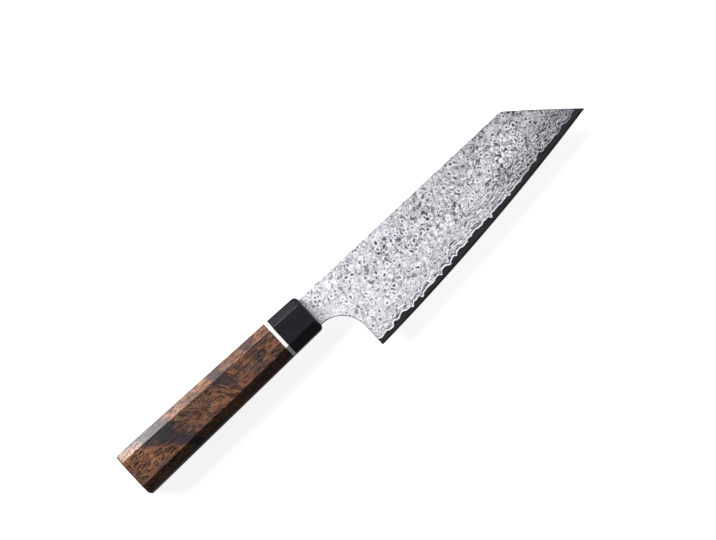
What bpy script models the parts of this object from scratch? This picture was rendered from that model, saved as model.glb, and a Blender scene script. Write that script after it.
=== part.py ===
"""Bunka knife: a three-layer blade on an octagonal wooden handle, lying on its left side.

Units are metres. The finished knife's frame stands at the bottom centre of the box round it: +X runs from
the butt to the tip, +Y from the edge to the spine, and +Z up out of the blade's right face.

The pieces are drawn in the knife's own frame, whose origin is where the handle's axis meets the ferrule's
front face, with z = 0 in the middle of the blade. The empty knife_frame then carries them to their place.
"""

import math

import bmesh
import bpy
from mathutils import Matrix, Vector

# Handle, from the butt to the ferrule's front face
HANDLE_LENGTH = 0.1280
BUTT_HEIGHT = 0.0269
BUTT_WIDTH = 0.0230
FRONT_HEIGHT = 0.0224
FRONT_WIDTH = 0.0190
HANDLE_CHAMFER = 0.00515
ARRIS_RADIUS = 0.0006
BUTT_RADIUS = 0.0015
FERRULE_LENGTH = 0.0200
FERRULE_RADIUS = 0.0026
FERRULE_FRONT_WALL = 0.0050
SPACER_THICKNESS = 0.0020

# Blade outline
NECK_HEIGHT = 0.0180
NECK_LENGTH = 0.0007
SPINE_OVER_AXIS = 0.0087
CHOIL_RUN = 0.0160
CHOIL_HEIGHT = 0.0161
HEEL_STRAIGHT = 0.0141
BLADE_LENGTH = 0.1643
TIP_DROP = 0.0294
POINT_RUN = 0.0340
EDGE_BELLY = 0.0025
POINT_BELLY = 0.0003

# Blade thickness, across both faces
SPINE_THICKNESS = 0.0020
SPINE_CORNER_THICKNESS = 0.0016
GRIND_TOP_THICKNESS = 0.0016
CORE_THICKNESS = 0.0006
CUTTING_BEVEL_THICKNESS = 0.00024

# Heights over the cutting edge
GRIND_HEIGHT = 0.0130
CORE_LINE_HEIGHT = 0.0040
CUTTING_BEVEL_HEIGHT = 0.0006

# Tang and what holds it
SEAT_DEPTH = 0.0015
TANG_LENGTH = 0.0780
TANG_FRONT_HEIGHT = 0.0075
TANG_END_HEIGHT = 0.0050
TANG_END_THICKNESS = 0.0016
BEDDING_WALL = 0.0008
DOWEL_WALL = 0.0010
DOWEL_END_WALL = 0.0060

# Clearances
LAYER_GAP = 0.00002
GLUE_LINE = 0.0001
TANG_CLEARANCE = 0.0002
CUT_OVERSHOOT = 0.0010

# Facets on curves
EDGE_STEPS = 24
POINT_STEPS = 6
CHOIL_STEPS = 8
ARRIS_STEPS = 2
END_STEPS = 3
DOWEL_SIDES = 32

# Places worked out from the sizes above
NECK_BOTTOM_Y = SPINE_OVER_AXIS - NECK_HEIGHT
CHOIL_END_Y = NECK_BOTTOM_Y - CHOIL_HEIGHT
HEEL = Vector((NECK_LENGTH + CHOIL_RUN, CHOIL_END_Y - HEEL_STRAIGHT))
TIP = Vector((HEEL.x + BLADE_LENGTH, SPINE_OVER_AXIS - TIP_DROP))
SPINE_CORNER = Vector((TIP.x - POINT_RUN, SPINE_OVER_AXIS))
TANG_END_X = -SEAT_DEPTH - TANG_LENGTH
POCKET_END_X = TANG_END_X - TANG_CLEARANCE - BEDDING_WALL
DOWEL_END_X = POCKET_END_X - GLUE_LINE - DOWEL_END_WALL
CLADDING_BED = CORE_THICKNESS / 2 + LAYER_GAP


def mix(start, end, share):
    """The value that lies at share of the way from start to end."""
    return start + (end - start) * share


def clear_scene():
    """Remove every object that the scene holds."""
    for item in list(bpy.data.objects):
        bpy.data.objects.remove(item, do_unlink=True)


def finish(name, colour, roughness, metallic=0.0):
    """A plain material of one colour, given as linear red, green and blue."""
    material = bpy.data.materials.new(name)
    material.use_nodes = True
    surface = material.node_tree.nodes["Principled BSDF"]
    surface.inputs["Base Color"].default_value = (*colour, 1.0)
    surface.inputs["Roughness"].default_value = roughness
    surface.inputs["Metallic"].default_value = metallic
    return material


def add_object(name, shape, material=None, smooth_angle=None):
    """Turn a bmesh into an object, with its faces pointing out, and free the bmesh."""
    bmesh.ops.recalc_face_normals(shape, faces=shape.faces)
    mesh = bpy.data.meshes.new(name)
    shape.to_mesh(mesh)
    shape.free()
    if smooth_angle is not None:
        mesh.shade_smooth()
        mesh.set_sharp_from_angle(angle=smooth_angle)
    if material is not None:
        mesh.materials.append(material)
    item = bpy.data.objects.new(name, mesh)
    bpy.context.scene.collection.objects.link(item)
    return item


def loft(rings):
    """A closed skin through rings of points, each with as many points as the next, and flat end caps."""
    shape = bmesh.new()
    loops = [[shape.verts.new(point) for point in ring] for ring in rings]
    for near, far in zip(loops, loops[1:]):
        for i, corner in enumerate(near):
            following = (i + 1) % len(near)
            shape.faces.new((corner, near[following], far[following], far[i]))
    shape.faces.new(loops[0])
    shape.faces.new(loops[-1])
    return shape


def cut(piece, cutter):
    """Take the cutter's shape out of the piece, with a modifier that follows the cutter."""
    cutter.hide_render = True
    cutter.display_type = "WIRE"
    taken = piece.modifiers.new(f"less {cutter.name}", "BOOLEAN")
    taken.operation = "DIFFERENCE"
    taken.object = cutter


def rod(radius, from_x, to_x):
    """A round bar along the handle's axis."""
    shape = bmesh.new()
    place = Matrix.Translation(((from_x + to_x) / 2, 0, 0)) @ Matrix.Rotation(math.pi / 2, 4, "Y")
    length = abs(to_x - from_x)
    bmesh.ops.create_cone(
        shape, cap_ends=True, segments=DOWEL_SIDES, radius1=radius, radius2=radius, depth=length, matrix=place
    )
    return shape


def wedge(sections):
    """A four-sided bar along the handle's axis through sections of (x, lowest y, highest y, half width)."""
    rings = []
    for x, low, high, half in sections:
        rings.append([(x, low, -half), (x, high, -half), (x, high, half), (x, low, half)])
    return loft(rings)


def handle_ring(x, inset=0.0):
    """The handle's outline across its axis at x: an octagon with eased corners, drawn in by inset."""
    share = -x / HANDLE_LENGTH
    shrink = inset + ARRIS_RADIUS
    half_height = mix(FRONT_HEIGHT, BUTT_HEIGHT, share) / 2 - shrink
    half_width = mix(FRONT_WIDTH, BUTT_WIDTH, share) / 2 - shrink
    chamfer = HANDLE_CHAMFER - shrink * (2 - math.sqrt(2))
    across = (half_width, half_width - chamfer)
    up = (half_height - chamfer, half_height)
    quarter = [(across[0], up[0]), (across[1], up[1])]
    centres = (
        quarter
        + [(-a, b) for a, b in reversed(quarter)]
        + [(-a, -b) for a, b in quarter]
        + [(a, -b) for a, b in reversed(quarter)]
    )
    ring = []
    for corner, (a, b) in enumerate(centres):
        for step in range(ARRIS_STEPS + 1):
            turn = math.radians(45) * (corner + step / ARRIS_STEPS)
            ring.append((x, b + ARRIS_RADIUS * math.sin(turn), a + ARRIS_RADIUS * math.cos(turn)))
    return ring


def rounded_end(x, radius, inward):
    """Handle rings that round the edge of an end face at x. The piece lies on the side that inward gives."""
    rings = []
    for step in range(END_STEPS + 1):
        turn = math.radians(90) * step / END_STEPS
        rings.append(handle_ring(x + inward * radius * (1 - math.cos(turn)), radius * (1 - math.sin(turn))))
    return rings


def arc_centre(start, end, belly):
    """Centre and radius of the arc from start to end that bulges by belly to the right of the way."""
    chord = end - start
    half = chord.length / 2
    radius = (half**2 + belly**2) / (2 * belly)
    left = Vector((-chord.y, chord.x)).normalized()
    return (start + end) / 2 + left * (radius - belly), radius


EDGE_CENTRE, EDGE_RADIUS = arc_centre(HEEL, TIP, EDGE_BELLY)
POINT_CENTRE, POINT_RADIUS = arc_centre(TIP, SPINE_CORNER, POINT_BELLY)


def over_edge_y(x, height):
    """The y of the line that runs at this height over the cutting edge."""
    return EDGE_CENTRE.y - math.sqrt((EDGE_RADIUS - height) ** 2 - (x - EDGE_CENTRE.x) ** 2)


def point_y(x):
    """The y of the slanting point line between the spine's corner and the tip."""
    return POINT_CENTRE.y + math.sqrt(POINT_RADIUS**2 - (x - POINT_CENTRE.x) ** 2)


def choil_x(y):
    """The x of the blade's back edge at y: straight over the heel, then round to the neck's underside."""
    rise = (y - CHOIL_END_Y) / CHOIL_HEIGHT
    if rise <= 0:
        return HEEL.x
    return NECK_LENGTH + CHOIL_RUN * math.sqrt(max(0.0, 1 - rise**2))


def line_start_x(height):
    """Where the line at this height over the edge meets the blade's back edge."""
    x = HEEL.x
    for _ in range(20):
        x = choil_x(over_edge_y(x, height))
    return x


def line_end_x(height):
    """Where the line at this height over the edge meets the point line."""
    near, far = SPINE_CORNER.x, TIP.x
    for _ in range(60):
        middle = (near + far) / 2
        if point_y(middle) > over_edge_y(middle, height):
            near = middle
        else:
            far = middle
    return near


def line_over_edge(height):
    """Points from heel to point along the line that runs at this height over the cutting edge."""
    start = line_start_x(height)
    end = line_end_x(height)
    points = []
    for step in range(EDGE_STEPS + 1):
        x = mix(start, end, step / EDGE_STEPS)
        points.append((x, over_edge_y(x, height)))
    return points


def tip_to_spine(start_x):
    """Points up the point line from x = start_x, which isn't among them, to the spine's corner."""
    points = []
    for step in range(1, POINT_STEPS + 1):
        x = mix(start_x, SPINE_CORNER.x, step / POINT_STEPS)
        points.append((x, point_y(x)))
    return points


def choil_to_line(end_y):
    """Points from the neck's underside round the choil and down the heel, ending before y = end_y."""
    points = []
    for step in range(CHOIL_STEPS + 1):
        turn = math.radians(90) * (1 - step / CHOIL_STEPS)
        x = NECK_LENGTH + CHOIL_RUN * math.cos(turn)
        y = CHOIL_END_Y + CHOIL_HEIGHT * math.sin(turn)
        if y > end_y:
            points.append((x, y))
    return points


def tang_outline():
    """Points round the tang, from the upper shoulder back to the lower one."""
    return [
        (-SEAT_DEPTH, TANG_FRONT_HEIGHT / 2),
        (TANG_END_X, TANG_END_HEIGHT / 2),
        (TANG_END_X, -TANG_END_HEIGHT / 2),
        (-SEAT_DEPTH, -TANG_FRONT_HEIGHT / 2),
    ]


def flat_half_thickness(x, y):
    """Half the blade's thickness on its flat upper part, which thins to the point and to the grind."""
    heel_fall = SPINE_OVER_AXIS - over_edge_y(HEEL.x, GRIND_HEIGHT)
    taper_share = (x - NECK_LENGTH) / (SPINE_CORNER.x - NECK_LENGTH)
    towards_point = (SPINE_THICKNESS - SPINE_CORNER_THICKNESS) / 2 * taper_share
    towards_edge = (SPINE_THICKNESS - GRIND_TOP_THICKNESS) / 2 * (SPINE_OVER_AXIS - y) / heel_fall
    return SPINE_THICKNESS / 2 - towards_point - towards_edge


def neck_half_thickness(x, y):
    """Half the neck's thickness, which no longer grows behind the place where the blade's flat starts."""
    return flat_half_thickness(NECK_LENGTH, y)


def tang_half_thickness(x, y):
    """Half the tang's thickness, which thins evenly from the neck's to the tang's end."""
    share = (x + SEAT_DEPTH) / -TANG_LENGTH
    thinning = neck_half_thickness(x, 0.0) - TANG_END_THICKNESS / 2
    return neck_half_thickness(x, y) - thinning * share


def make_core(material):
    """The hard middle layer: a flat plate with the tang, ground to the cutting edge along its foot."""
    line = line_over_edge(CORE_LINE_HEIGHT)
    bevel = line_over_edge(CUTTING_BEVEL_HEIGHT)
    edge = line_over_edge(0.0)
    back = [(-SEAT_DEPTH, NECK_BOTTOM_Y)] + choil_to_line(line[0][1])
    front = tip_to_spine(line[-1][0]) + [(-SEAT_DEPTH, SPINE_OVER_AXIS)]
    rim = front + tang_outline() + back

    shape = bmesh.new()
    edge_row = [shape.verts.new((x, y, 0.0)) for x, y in edge]
    sides = []
    for side in (1, -1):
        line_row = [shape.verts.new((x, y, side * CORE_THICKNESS / 2)) for x, y in line]
        bevel_row = [shape.verts.new((x, y, side * CUTTING_BEVEL_THICKNESS / 2)) for x, y in bevel]
        rim_row = [shape.verts.new((x, y, side * CORE_THICKNESS / 2)) for x, y in rim]
        shape.faces.new(line_row + rim_row)
        for low, high in ((edge_row, bevel_row), (bevel_row, line_row)):
            for i in range(EDGE_STEPS):
                shape.faces.new((low[i], low[i + 1], high[i + 1], high[i]))
        sides.append([bevel_row[-1], line_row[-1], *rim_row, line_row[0], bevel_row[0]])
    right, left = sides
    shape.faces.new((edge_row[-1], right[0], left[0]))
    shape.faces.new((edge_row[0], right[-1], left[-1]))
    for i in range(len(right) - 1):
        shape.faces.new((right[i], right[i + 1], left[i + 1], left[i]))
    return add_object("core_steel", shape, material)


def make_cladding(name, side, material):
    """One soft outer layer: flat above, ground below down to nothing at the line where the core shows."""
    line = line_over_edge(CORE_LINE_HEIGHT)
    ridge = line_over_edge(GRIND_HEIGHT)
    upper_point = tip_to_spine(ridge[-1][0]) + [(NECK_LENGTH, SPINE_OVER_AXIS)]
    upper_back = choil_to_line(ridge[0][1])
    lower_back = [point for point in choil_to_line(line[0][1]) if point[1] < ridge[0][1]]
    shoulders = [(-SEAT_DEPTH, SPINE_OVER_AXIS), (-SEAT_DEPTH, NECK_BOTTOM_Y)]

    shape = bmesh.new()

    def wall(points, half_thickness):
        """Pairs of corners for these points: one on the layer's outer face and one on its bed."""
        outer = [shape.verts.new((x, y, side * half_thickness(x, y))) for x, y in points]
        inner = [shape.verts.new((x, y, side * CLADDING_BED)) for x, y in points]
        return outer, inner

    def ground(x, y):
        """Half thickness on the ground face along the blade's back edge, between its two lines."""
        share = (y - line[0][1]) / (ridge[0][1] - line[0][1])
        return mix(CLADDING_BED, flat_half_thickness(*ridge[0]), share)

    feather = [shape.verts.new((x, y, side * CLADDING_BED)) for x, y in line]
    ridge_row = [shape.verts.new((x, y, side * flat_half_thickness(x, y))) for x, y in ridge]
    ridge_bed = [shape.verts.new((*ridge[i], side * CLADDING_BED)) for i in (-1, 0)]
    point_outer, point_bed = wall(upper_point, flat_half_thickness)
    shoulder_outer, shoulder_bed = wall(shoulders, neck_half_thickness)
    tang_outer, tang_bed = wall(tang_outline(), tang_half_thickness)
    back_outer, back_bed = wall(upper_back, flat_half_thickness)
    heel_outer, heel_bed = wall(lower_back, ground)

    shape.faces.new(ridge_row + point_outer + back_outer)
    neck = [point_outer[-1], shoulder_outer[0], tang_outer[0], tang_outer[-1], shoulder_outer[1], back_outer[0]]
    shape.faces.new(neck)
    shape.faces.new(tang_outer)
    for i in range(EDGE_STEPS):
        shape.faces.new((feather[i], feather[i + 1], ridge_row[i + 1], ridge_row[i]))
    if heel_outer:
        shape.faces.new([feather[0], ridge_row[0], *heel_outer])

    rear_bed = [shoulder_bed[0], *tang_bed, shoulder_bed[1]]
    rear_outer = [shoulder_outer[0], *tang_outer, shoulder_outer[1]]
    bed = [ridge_bed[0], *point_bed, *rear_bed, *back_bed, ridge_bed[1], *heel_bed]
    outer = [ridge_row[-1], *point_outer, *rear_outer, *back_outer, ridge_row[0], *heel_outer]
    shape.faces.new(feather + bed)
    for i in range(len(bed) - 1):
        shape.faces.new((outer[i], outer[i + 1], bed[i + 1], bed[i]))
    shape.faces.new((feather[-1], outer[0], bed[0]))
    shape.faces.new((feather[0], outer[-1], bed[-1]))
    return add_object(name, shape, material)


def tang_sections(from_x, to_x, spare):
    """Sections of the tang's shape between two places on the axis, larger by spare all round."""
    sections = []
    for x in (from_x, to_x):
        share = (x + SEAT_DEPTH) / -TANG_LENGTH
        half_height = mix(TANG_FRONT_HEIGHT, TANG_END_HEIGHT, share) / 2 + spare
        half_thickness = tang_half_thickness(x, half_height) + spare
        sections.append((x, -half_height, half_height, half_thickness))
    return sections


def dowel_radius():
    """Radius of the dowel, which leaves its wall round the corners of the pocket for the tang."""
    pocket = tang_sections(-SEAT_DEPTH, TANG_END_X, TANG_CLEARANCE + BEDDING_WALL + GLUE_LINE)
    _, _, half_height, half_width = pocket[0]
    flats = math.cos(math.pi / DOWEL_SIDES)
    return (math.hypot(half_height, half_width) + DOWEL_WALL) / flats


def bore_cutter(name, from_x, to_x):
    """A cutter for the round hole that the dowel is glued into."""
    return add_object(name, rod(dowel_radius() + GLUE_LINE, from_x, to_x))


def make_ferrule(material):
    """The black collar: a pocket for the neck and a slot for the tang in front, a dowel hole behind."""
    rear_x = -FERRULE_LENGTH
    rings = [handle_ring(rear_x)] + list(reversed(rounded_end(0.0, FERRULE_RADIUS, -1)))
    ferrule = add_object("ferrule", loft(rings), material, math.radians(30))

    neck_half = neck_half_thickness(-SEAT_DEPTH, SPINE_OVER_AXIS) + GLUE_LINE
    low, high = NECK_BOTTOM_Y - GLUE_LINE, SPINE_OVER_AXIS + GLUE_LINE
    seat = wedge([(-SEAT_DEPTH - GLUE_LINE, low, high, neck_half), (CUT_OVERSHOOT, low, high, neck_half)])
    cut(ferrule, add_object("neck_seat_cutter", seat))

    bore_front_x = -FERRULE_FRONT_WALL
    slot = wedge(tang_sections(-SEAT_DEPTH / 2, bore_front_x - CUT_OVERSHOOT, TANG_CLEARANCE))
    cut(ferrule, add_object("tang_slot_cutter", slot))
    cut(ferrule, bore_cutter("ferrule_bore_cutter", bore_front_x, rear_x - CUT_OVERSHOOT))
    return ferrule


def make_spacer(material):
    """The thin bright plate between the ferrule and the wood."""
    front_x = -FERRULE_LENGTH - GLUE_LINE
    rear_x = front_x - SPACER_THICKNESS
    spacer = add_object("spacer", loft([handle_ring(rear_x), handle_ring(front_x)]), material, math.radians(30))
    cut(spacer, bore_cutter("spacer_bore_cutter", rear_x - CUT_OVERSHOOT, front_x + CUT_OVERSHOOT))
    return spacer


def make_handle_body(material):
    """The wooden grip, with a blind hole for the dowel from its front."""
    front_x = -FERRULE_LENGTH - SPACER_THICKNESS - 2 * GLUE_LINE
    rings = rounded_end(-HANDLE_LENGTH, BUTT_RADIUS, 1) + [handle_ring(front_x)]
    body = add_object("handle_body", loft(rings), material, math.radians(30))
    cut(body, bore_cutter("handle_bore_cutter", DOWEL_END_X - GLUE_LINE, front_x + CUT_OVERSHOOT))
    return body


def make_dowel(material):
    """The hardwood dowel that joins ferrule, spacer and grip, with a pocket for the tang in its front end."""
    front_x = -FERRULE_FRONT_WALL - GLUE_LINE
    dowel = add_object("dowel", rod(dowel_radius(), DOWEL_END_X, front_x), material, math.radians(30))
    spare = TANG_CLEARANCE + BEDDING_WALL + GLUE_LINE
    pocket = wedge(tang_sections(POCKET_END_X - GLUE_LINE, front_x + CUT_OVERSHOOT, spare))
    cut(dowel, add_object("dowel_pocket_cutter", pocket))
    return dowel


def make_bedding(material):
    """The set resin that fills the dowel's pocket round the tang."""
    front_x = -FERRULE_FRONT_WALL - GLUE_LINE
    outside = wedge(tang_sections(POCKET_END_X, front_x, TANG_CLEARANCE + BEDDING_WALL))
    bedding = add_object("tang_bedding", outside, material)
    hollow = wedge(tang_sections(TANG_END_X - TANG_CLEARANCE, front_x + CUT_OVERSHOOT, TANG_CLEARANCE))
    cut(bedding, add_object("bedding_cutter", hollow))
    return bedding


def lay_down(pieces):
    """Parent everything to one empty and move it, so that the box round the pieces stands on the origin."""
    frame = bpy.data.objects.new("knife_frame", None)
    bpy.context.scene.collection.objects.link(frame)
    corners = [vertex.co for piece in pieces for vertex in piece.data.vertices]
    low = Vector([min(corner[axis] for corner in corners) for axis in range(3)])
    high = Vector([max(corner[axis] for corner in corners) for axis in range(3)])
    frame.location = (-(low.x + high.x) / 2, -(low.y + high.y) / 2, -low.z)
    for item in bpy.context.scene.collection.objects:
        if item is not frame:
            item.parent = frame


def main():
    """Build the knife."""
    clear_scene()
    core_finish = finish("core steel", (0.05, 0.05, 0.055), 0.45, 1.0)
    cladding_finish = finish("patterned steel", (0.62, 0.62, 0.64), 0.38, 1.0)
    pieces = [
        make_core(core_finish),
        make_cladding("cladding_right", 1, cladding_finish),
        make_cladding("cladding_left", -1, cladding_finish.copy()),
        make_ferrule(finish("black horn", (0.02, 0.02, 0.023), 0.3)),
        make_spacer(finish("nickel silver", (0.82, 0.81, 0.78), 0.2, 1.0)),
        make_handle_body(finish("figured wood", (0.17, 0.075, 0.045), 0.4)),
        make_dowel(finish("dowel wood", (0.45, 0.3, 0.16), 0.7)),
        make_bedding(finish("resin", (0.25, 0.19, 0.1), 0.3)),
    ]
    lay_down(pieces)


main()
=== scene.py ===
"""Looks of a bunka knife: a three-layer patterned blade on an octagonal wooden handle.

Everything is in metres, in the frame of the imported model. Shapes are drawn in the knife's own frame, whose
origin is where the handle's axis meets the ferrule's front face, and are then moved to their place. Patterns
are drawn in the knife's own frame too, in millimetres.
"""

from __future__ import annotations

import logging
import math
from dataclasses import dataclass, field
from enum import Enum
from typing import Callable, Iterable, Sequence

import bmesh
import bpy
from mathutils import Matrix, Vector, noise

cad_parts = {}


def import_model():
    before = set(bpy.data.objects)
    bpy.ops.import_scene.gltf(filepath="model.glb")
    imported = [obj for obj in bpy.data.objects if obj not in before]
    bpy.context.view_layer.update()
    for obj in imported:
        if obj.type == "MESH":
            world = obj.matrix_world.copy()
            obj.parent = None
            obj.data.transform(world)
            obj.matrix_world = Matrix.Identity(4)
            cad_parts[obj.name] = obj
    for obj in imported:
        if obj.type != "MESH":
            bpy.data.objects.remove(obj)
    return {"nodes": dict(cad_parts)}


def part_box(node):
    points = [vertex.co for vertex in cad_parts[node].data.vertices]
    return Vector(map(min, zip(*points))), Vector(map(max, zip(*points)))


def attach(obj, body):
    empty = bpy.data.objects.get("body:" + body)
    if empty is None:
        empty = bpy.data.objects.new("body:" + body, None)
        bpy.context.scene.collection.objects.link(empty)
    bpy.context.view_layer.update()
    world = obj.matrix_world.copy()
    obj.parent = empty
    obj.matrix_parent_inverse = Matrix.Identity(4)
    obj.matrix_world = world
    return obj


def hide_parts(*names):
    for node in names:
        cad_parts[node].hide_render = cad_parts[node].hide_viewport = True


LOG = logging.getLogger("bunka_knife")
ROOT = "root"
MILLIMETRES = 1000.0
MERGE_DISTANCE = 1e-7
NEARLY_STRAIGHT = 0.05
HALVINGS = 50
QUARTER_TURN = math.radians(90)
EIGHTH_TURN = math.radians(45)
Colour = tuple[float, float, float]
Point = tuple[float, float]
Grid = list[dict[int, Point]]
Row = list[bmesh.types.BMVert]
Stops = Sequence[tuple[float, Colour]]


class Side(Enum):
    """The two faces of the blade, by the sign of their z."""

    RIGHT = 1
    LEFT = -1


def mix(start: float, end: float, share: float) -> float:
    """The value that lies at share of the way from start to end."""
    return start + (end - start) * share


def smooth_least(a: float, b: float, width: float) -> float:
    """The lesser of two heights, with the corner between them rounded over this width."""
    overlap = max(width - abs(a - b), 0.0) / width
    return min(a, b) - overlap * overlap * width / 4


def bisect(keep: Callable[[float], bool], near: float, far: float) -> float:
    """Find where a condition that holds at near stops holding on the way to far.

    Args:
        keep: The condition on x.
        near: A place where it holds.
        far: A place where it doesn't.

    Returns:
        The last x at which it holds.
    """
    for _ in range(HALVINGS):
        middle = (near + far) / 2
        if keep(middle):
            near = middle
        else:
            far = middle
    return near


def operator(operation: str, swapped: bool = False) -> Callable[["Term", "Number"], "Term"]:
    """Make the method behind one of Python's operators.

    Args:
        operation: The Math node that it adds.
        swapped: Whether the other number comes first, as in a reflected form.

    Returns:
        The method.
    """

    def apply(term: "Term", other: "Number") -> "Term":
        """Add the Math node on the two numbers."""
        return term.tree.math(operation, *((other, term) if swapped else (term, other)))

    return apply


class Term:
    """A number socket of a node tree that Python's operators work on."""

    def __init__(self, tree: "Tree", socket: bpy.types.NodeSocket) -> None:
        """Wrap one output socket of the tree."""
        self.tree = tree
        self.socket = socket

    __add__, __radd__ = operator("ADD"), operator("ADD", swapped=True)
    __sub__, __rsub__ = operator("SUBTRACT"), operator("SUBTRACT", swapped=True)
    __mul__, __rmul__ = operator("MULTIPLY"), operator("MULTIPLY", swapped=True)
    __truediv__, __rtruediv__ = operator("DIVIDE"), operator("DIVIDE", swapped=True)
    __gt__ = operator("GREATER_THAN")
    __lt__ = operator("LESS_THAN")

    def __abs__(self) -> "Term":
        """The number without its sign."""
        return self.tree.math("ABSOLUTE", self)


Number = float | Term


class Tree:
    """Builds one node tree, for a material, the world or geometry."""

    def __init__(self, tree: bpy.types.NodeTree) -> None:
        """Work on this tree."""
        self.tree = tree

    def node(self, kind: str, settings: dict | None = None, values: dict | None = None) -> bpy.types.Node:
        """Add a node.

        Args:
            kind: The node's type name.
            settings: Its properties, set first. "stops" gives a colour ramp's (position, colour) pairs.
            values: Values or links by the input socket's name or index.

        Returns:
            The new node.
        """
        made = self.tree.nodes.new(kind)
        for name, value in (settings or {}).items():
            if name == "stops":
                self._set_stops(made, value)
            else:
                setattr(made, name, value)
        for key, value in (values or {}).items():
            self.feed(made.inputs[key], value)
        return made

    @staticmethod
    def _set_stops(ramp: bpy.types.Node, stops: Stops) -> None:
        """Give a colour ramp its stops.

        Args:
            ramp: The Color Ramp node.
            stops: The position and colour of each stop, in order.
        """
        elements = ramp.color_ramp.elements
        while len(elements) < len(stops):
            elements.new(0.5)
        for element, (position, colour) in zip(elements, stops):
            element.position = position
            element.color = (*colour, 1.0)

    def feed(self, socket: bpy.types.NodeSocket, value: object) -> None:
        """Link or set one input socket.

        Args:
            socket: The input.
            value: A term or socket to link, or a plain value to set.
        """
        if isinstance(value, Term):
            value = value.socket
        if isinstance(value, bpy.types.NodeSocket):
            self.tree.links.new(value, socket)
        elif isinstance(value, tuple) and len(value) == 3 and socket.type == "RGBA":
            socket.default_value = (*value, 1.0)
        else:
            socket.default_value = value

    def term(self, node: bpy.types.Node, output: str | int = 0) -> Term:
        """Wrap one of a node's outputs."""
        return Term(self, node.outputs[output])

    def math(self, operation: str, *values: Number) -> Term:
        """Add a Math node on these values."""
        return self.term(self.node("ShaderNodeMath", {"operation": operation}, dict(enumerate(values))))

    def clamp(self, value: Number, low: float = 0.0, high: float = 1.0) -> Term:
        """Keep a number between two others."""
        return self.math("MINIMUM", self.math("MAXIMUM", value, low), high)

    def ease(self, value: Number, low: float, high: float, start: float = 0.0, end: float = 1.0) -> Term:
        """Go smoothly from start to end while value goes from low to high."""
        values = {0: value, 1: low, 2: high, 3: start, 4: end}
        return self.term(self.node("ShaderNodeMapRange", {"interpolation_type": "SMOOTHSTEP"}, values))

    def join(self, x: Number, y: Number, z: Number) -> bpy.types.NodeSocket:
        """A vector from three numbers."""
        return self.node("ShaderNodeCombineXYZ", None, {0: x, 1: y, 2: z}).outputs[0]

    def split(self, vector: bpy.types.NodeSocket) -> tuple[Term, Term, Term]:
        """The three numbers of a vector."""
        node = self.node("ShaderNodeSeparateXYZ", None, {0: vector})
        return self.term(node, 0), self.term(node, 1), self.term(node, 2)

    def vector(self, operation: str, *values: object) -> bpy.types.NodeSocket:
        """Add a Vector Math node on these values and return its vector."""
        return self.node("ShaderNodeVectorMath", {"operation": operation}, dict(enumerate(values))).outputs[0]

    def blend(self, share: Number, start: object, end: object, way: str = "MIX") -> bpy.types.NodeSocket:
        """Mix two colours."""
        settings = {"data_type": "RGBA", "blend_type": way}
        return self.node("ShaderNodeMix", settings, {0: share, 6: start, 7: end}).outputs[2]

    def noise(self, place: object, scale: float, detail: float = 2.0, roughness: float = 0.5) -> Term:
        """Soft noise between 0 and 1 at this scale."""
        values = {"Vector": place, "Scale": scale, "Detail": detail, "Roughness": roughness}
        return self.term(self.node("ShaderNodeTexNoise", None, values))

    def cell_border(self, place: object, scale: float) -> Term:
        """Distance to the nearest border between the cells of scattered points."""
        settings, values = {"feature": "DISTANCE_TO_EDGE"}, {"Vector": place, "Scale": scale}
        return self.term(self.node("ShaderNodeTexVoronoi", settings, values), "Distance")

    def ramp(self, value: Number, stops: Stops) -> bpy.types.NodeSocket:
        """A colour for each value, between the stops."""
        return self.node("ShaderNodeValToRGB", {"stops": stops}, {0: value}).outputs[0]


class Surface(Tree):
    """The node tree of one material, with the knife's own frame in millimetres to draw on."""

    def __init__(self, name: str, origin: Vector) -> None:
        """Start a material with a Principled surface.

        Args:
            name: The material's name.
            origin: Where the knife's own frame stands in the model's frame.
        """
        self.material = bpy.data.materials.new(name)
        self.material.use_nodes = True
        super().__init__(self.material.node_tree)
        self.principled = self.tree.nodes["Principled BSDF"]
        moved = self.vector("SUBTRACT", self.node("ShaderNodeTexCoord").outputs["Object"], tuple(origin))
        self.place = self.vector("MULTIPLY", moved, (MILLIMETRES, MILLIMETRES, MILLIMETRES))
        self.x, self.y, self.z = self.split(self.place)

    def attribute(self, name: str) -> Term:
        """A length that the mesh carries at each of its points, brought to millimetres."""
        return self.term(self.node("ShaderNodeAttribute", {"attribute_name": name}), "Fac") * MILLIMETRES

    def set(self, values: dict) -> None:
        """Set or link the Principled surface's inputs."""
        for key, value in values.items():
            self.feed(self.principled.inputs[key], value)

    def bump(self, height: Number, depth_mm: float) -> None:
        """Raise the surface by height, which runs from 0 to 1, times depth."""
        values = {"Strength": 1.0, "Distance": depth_mm / MILLIMETRES, "Height": height}
        self.set({"Normal": self.node("ShaderNodeBump", None, values).outputs[0]})


@dataclass(frozen=True)
class Finish:
    """What every finish shares: it makes one material, and its fields say how that looks."""

    name: str

    def make(self, origin: Vector) -> bpy.types.Material:
        """Build the material.

        Args:
            origin: Where the knife's own frame stands in the model's frame.

        Returns:
            The new material.
        """
        s = Surface(self.name, origin)
        self.dress(s)
        return s.material

    def dress(self, s: Surface) -> None:
        """Draw the pattern and set the gloss, which each finish does in its own way."""
        raise NotImplementedError


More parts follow.
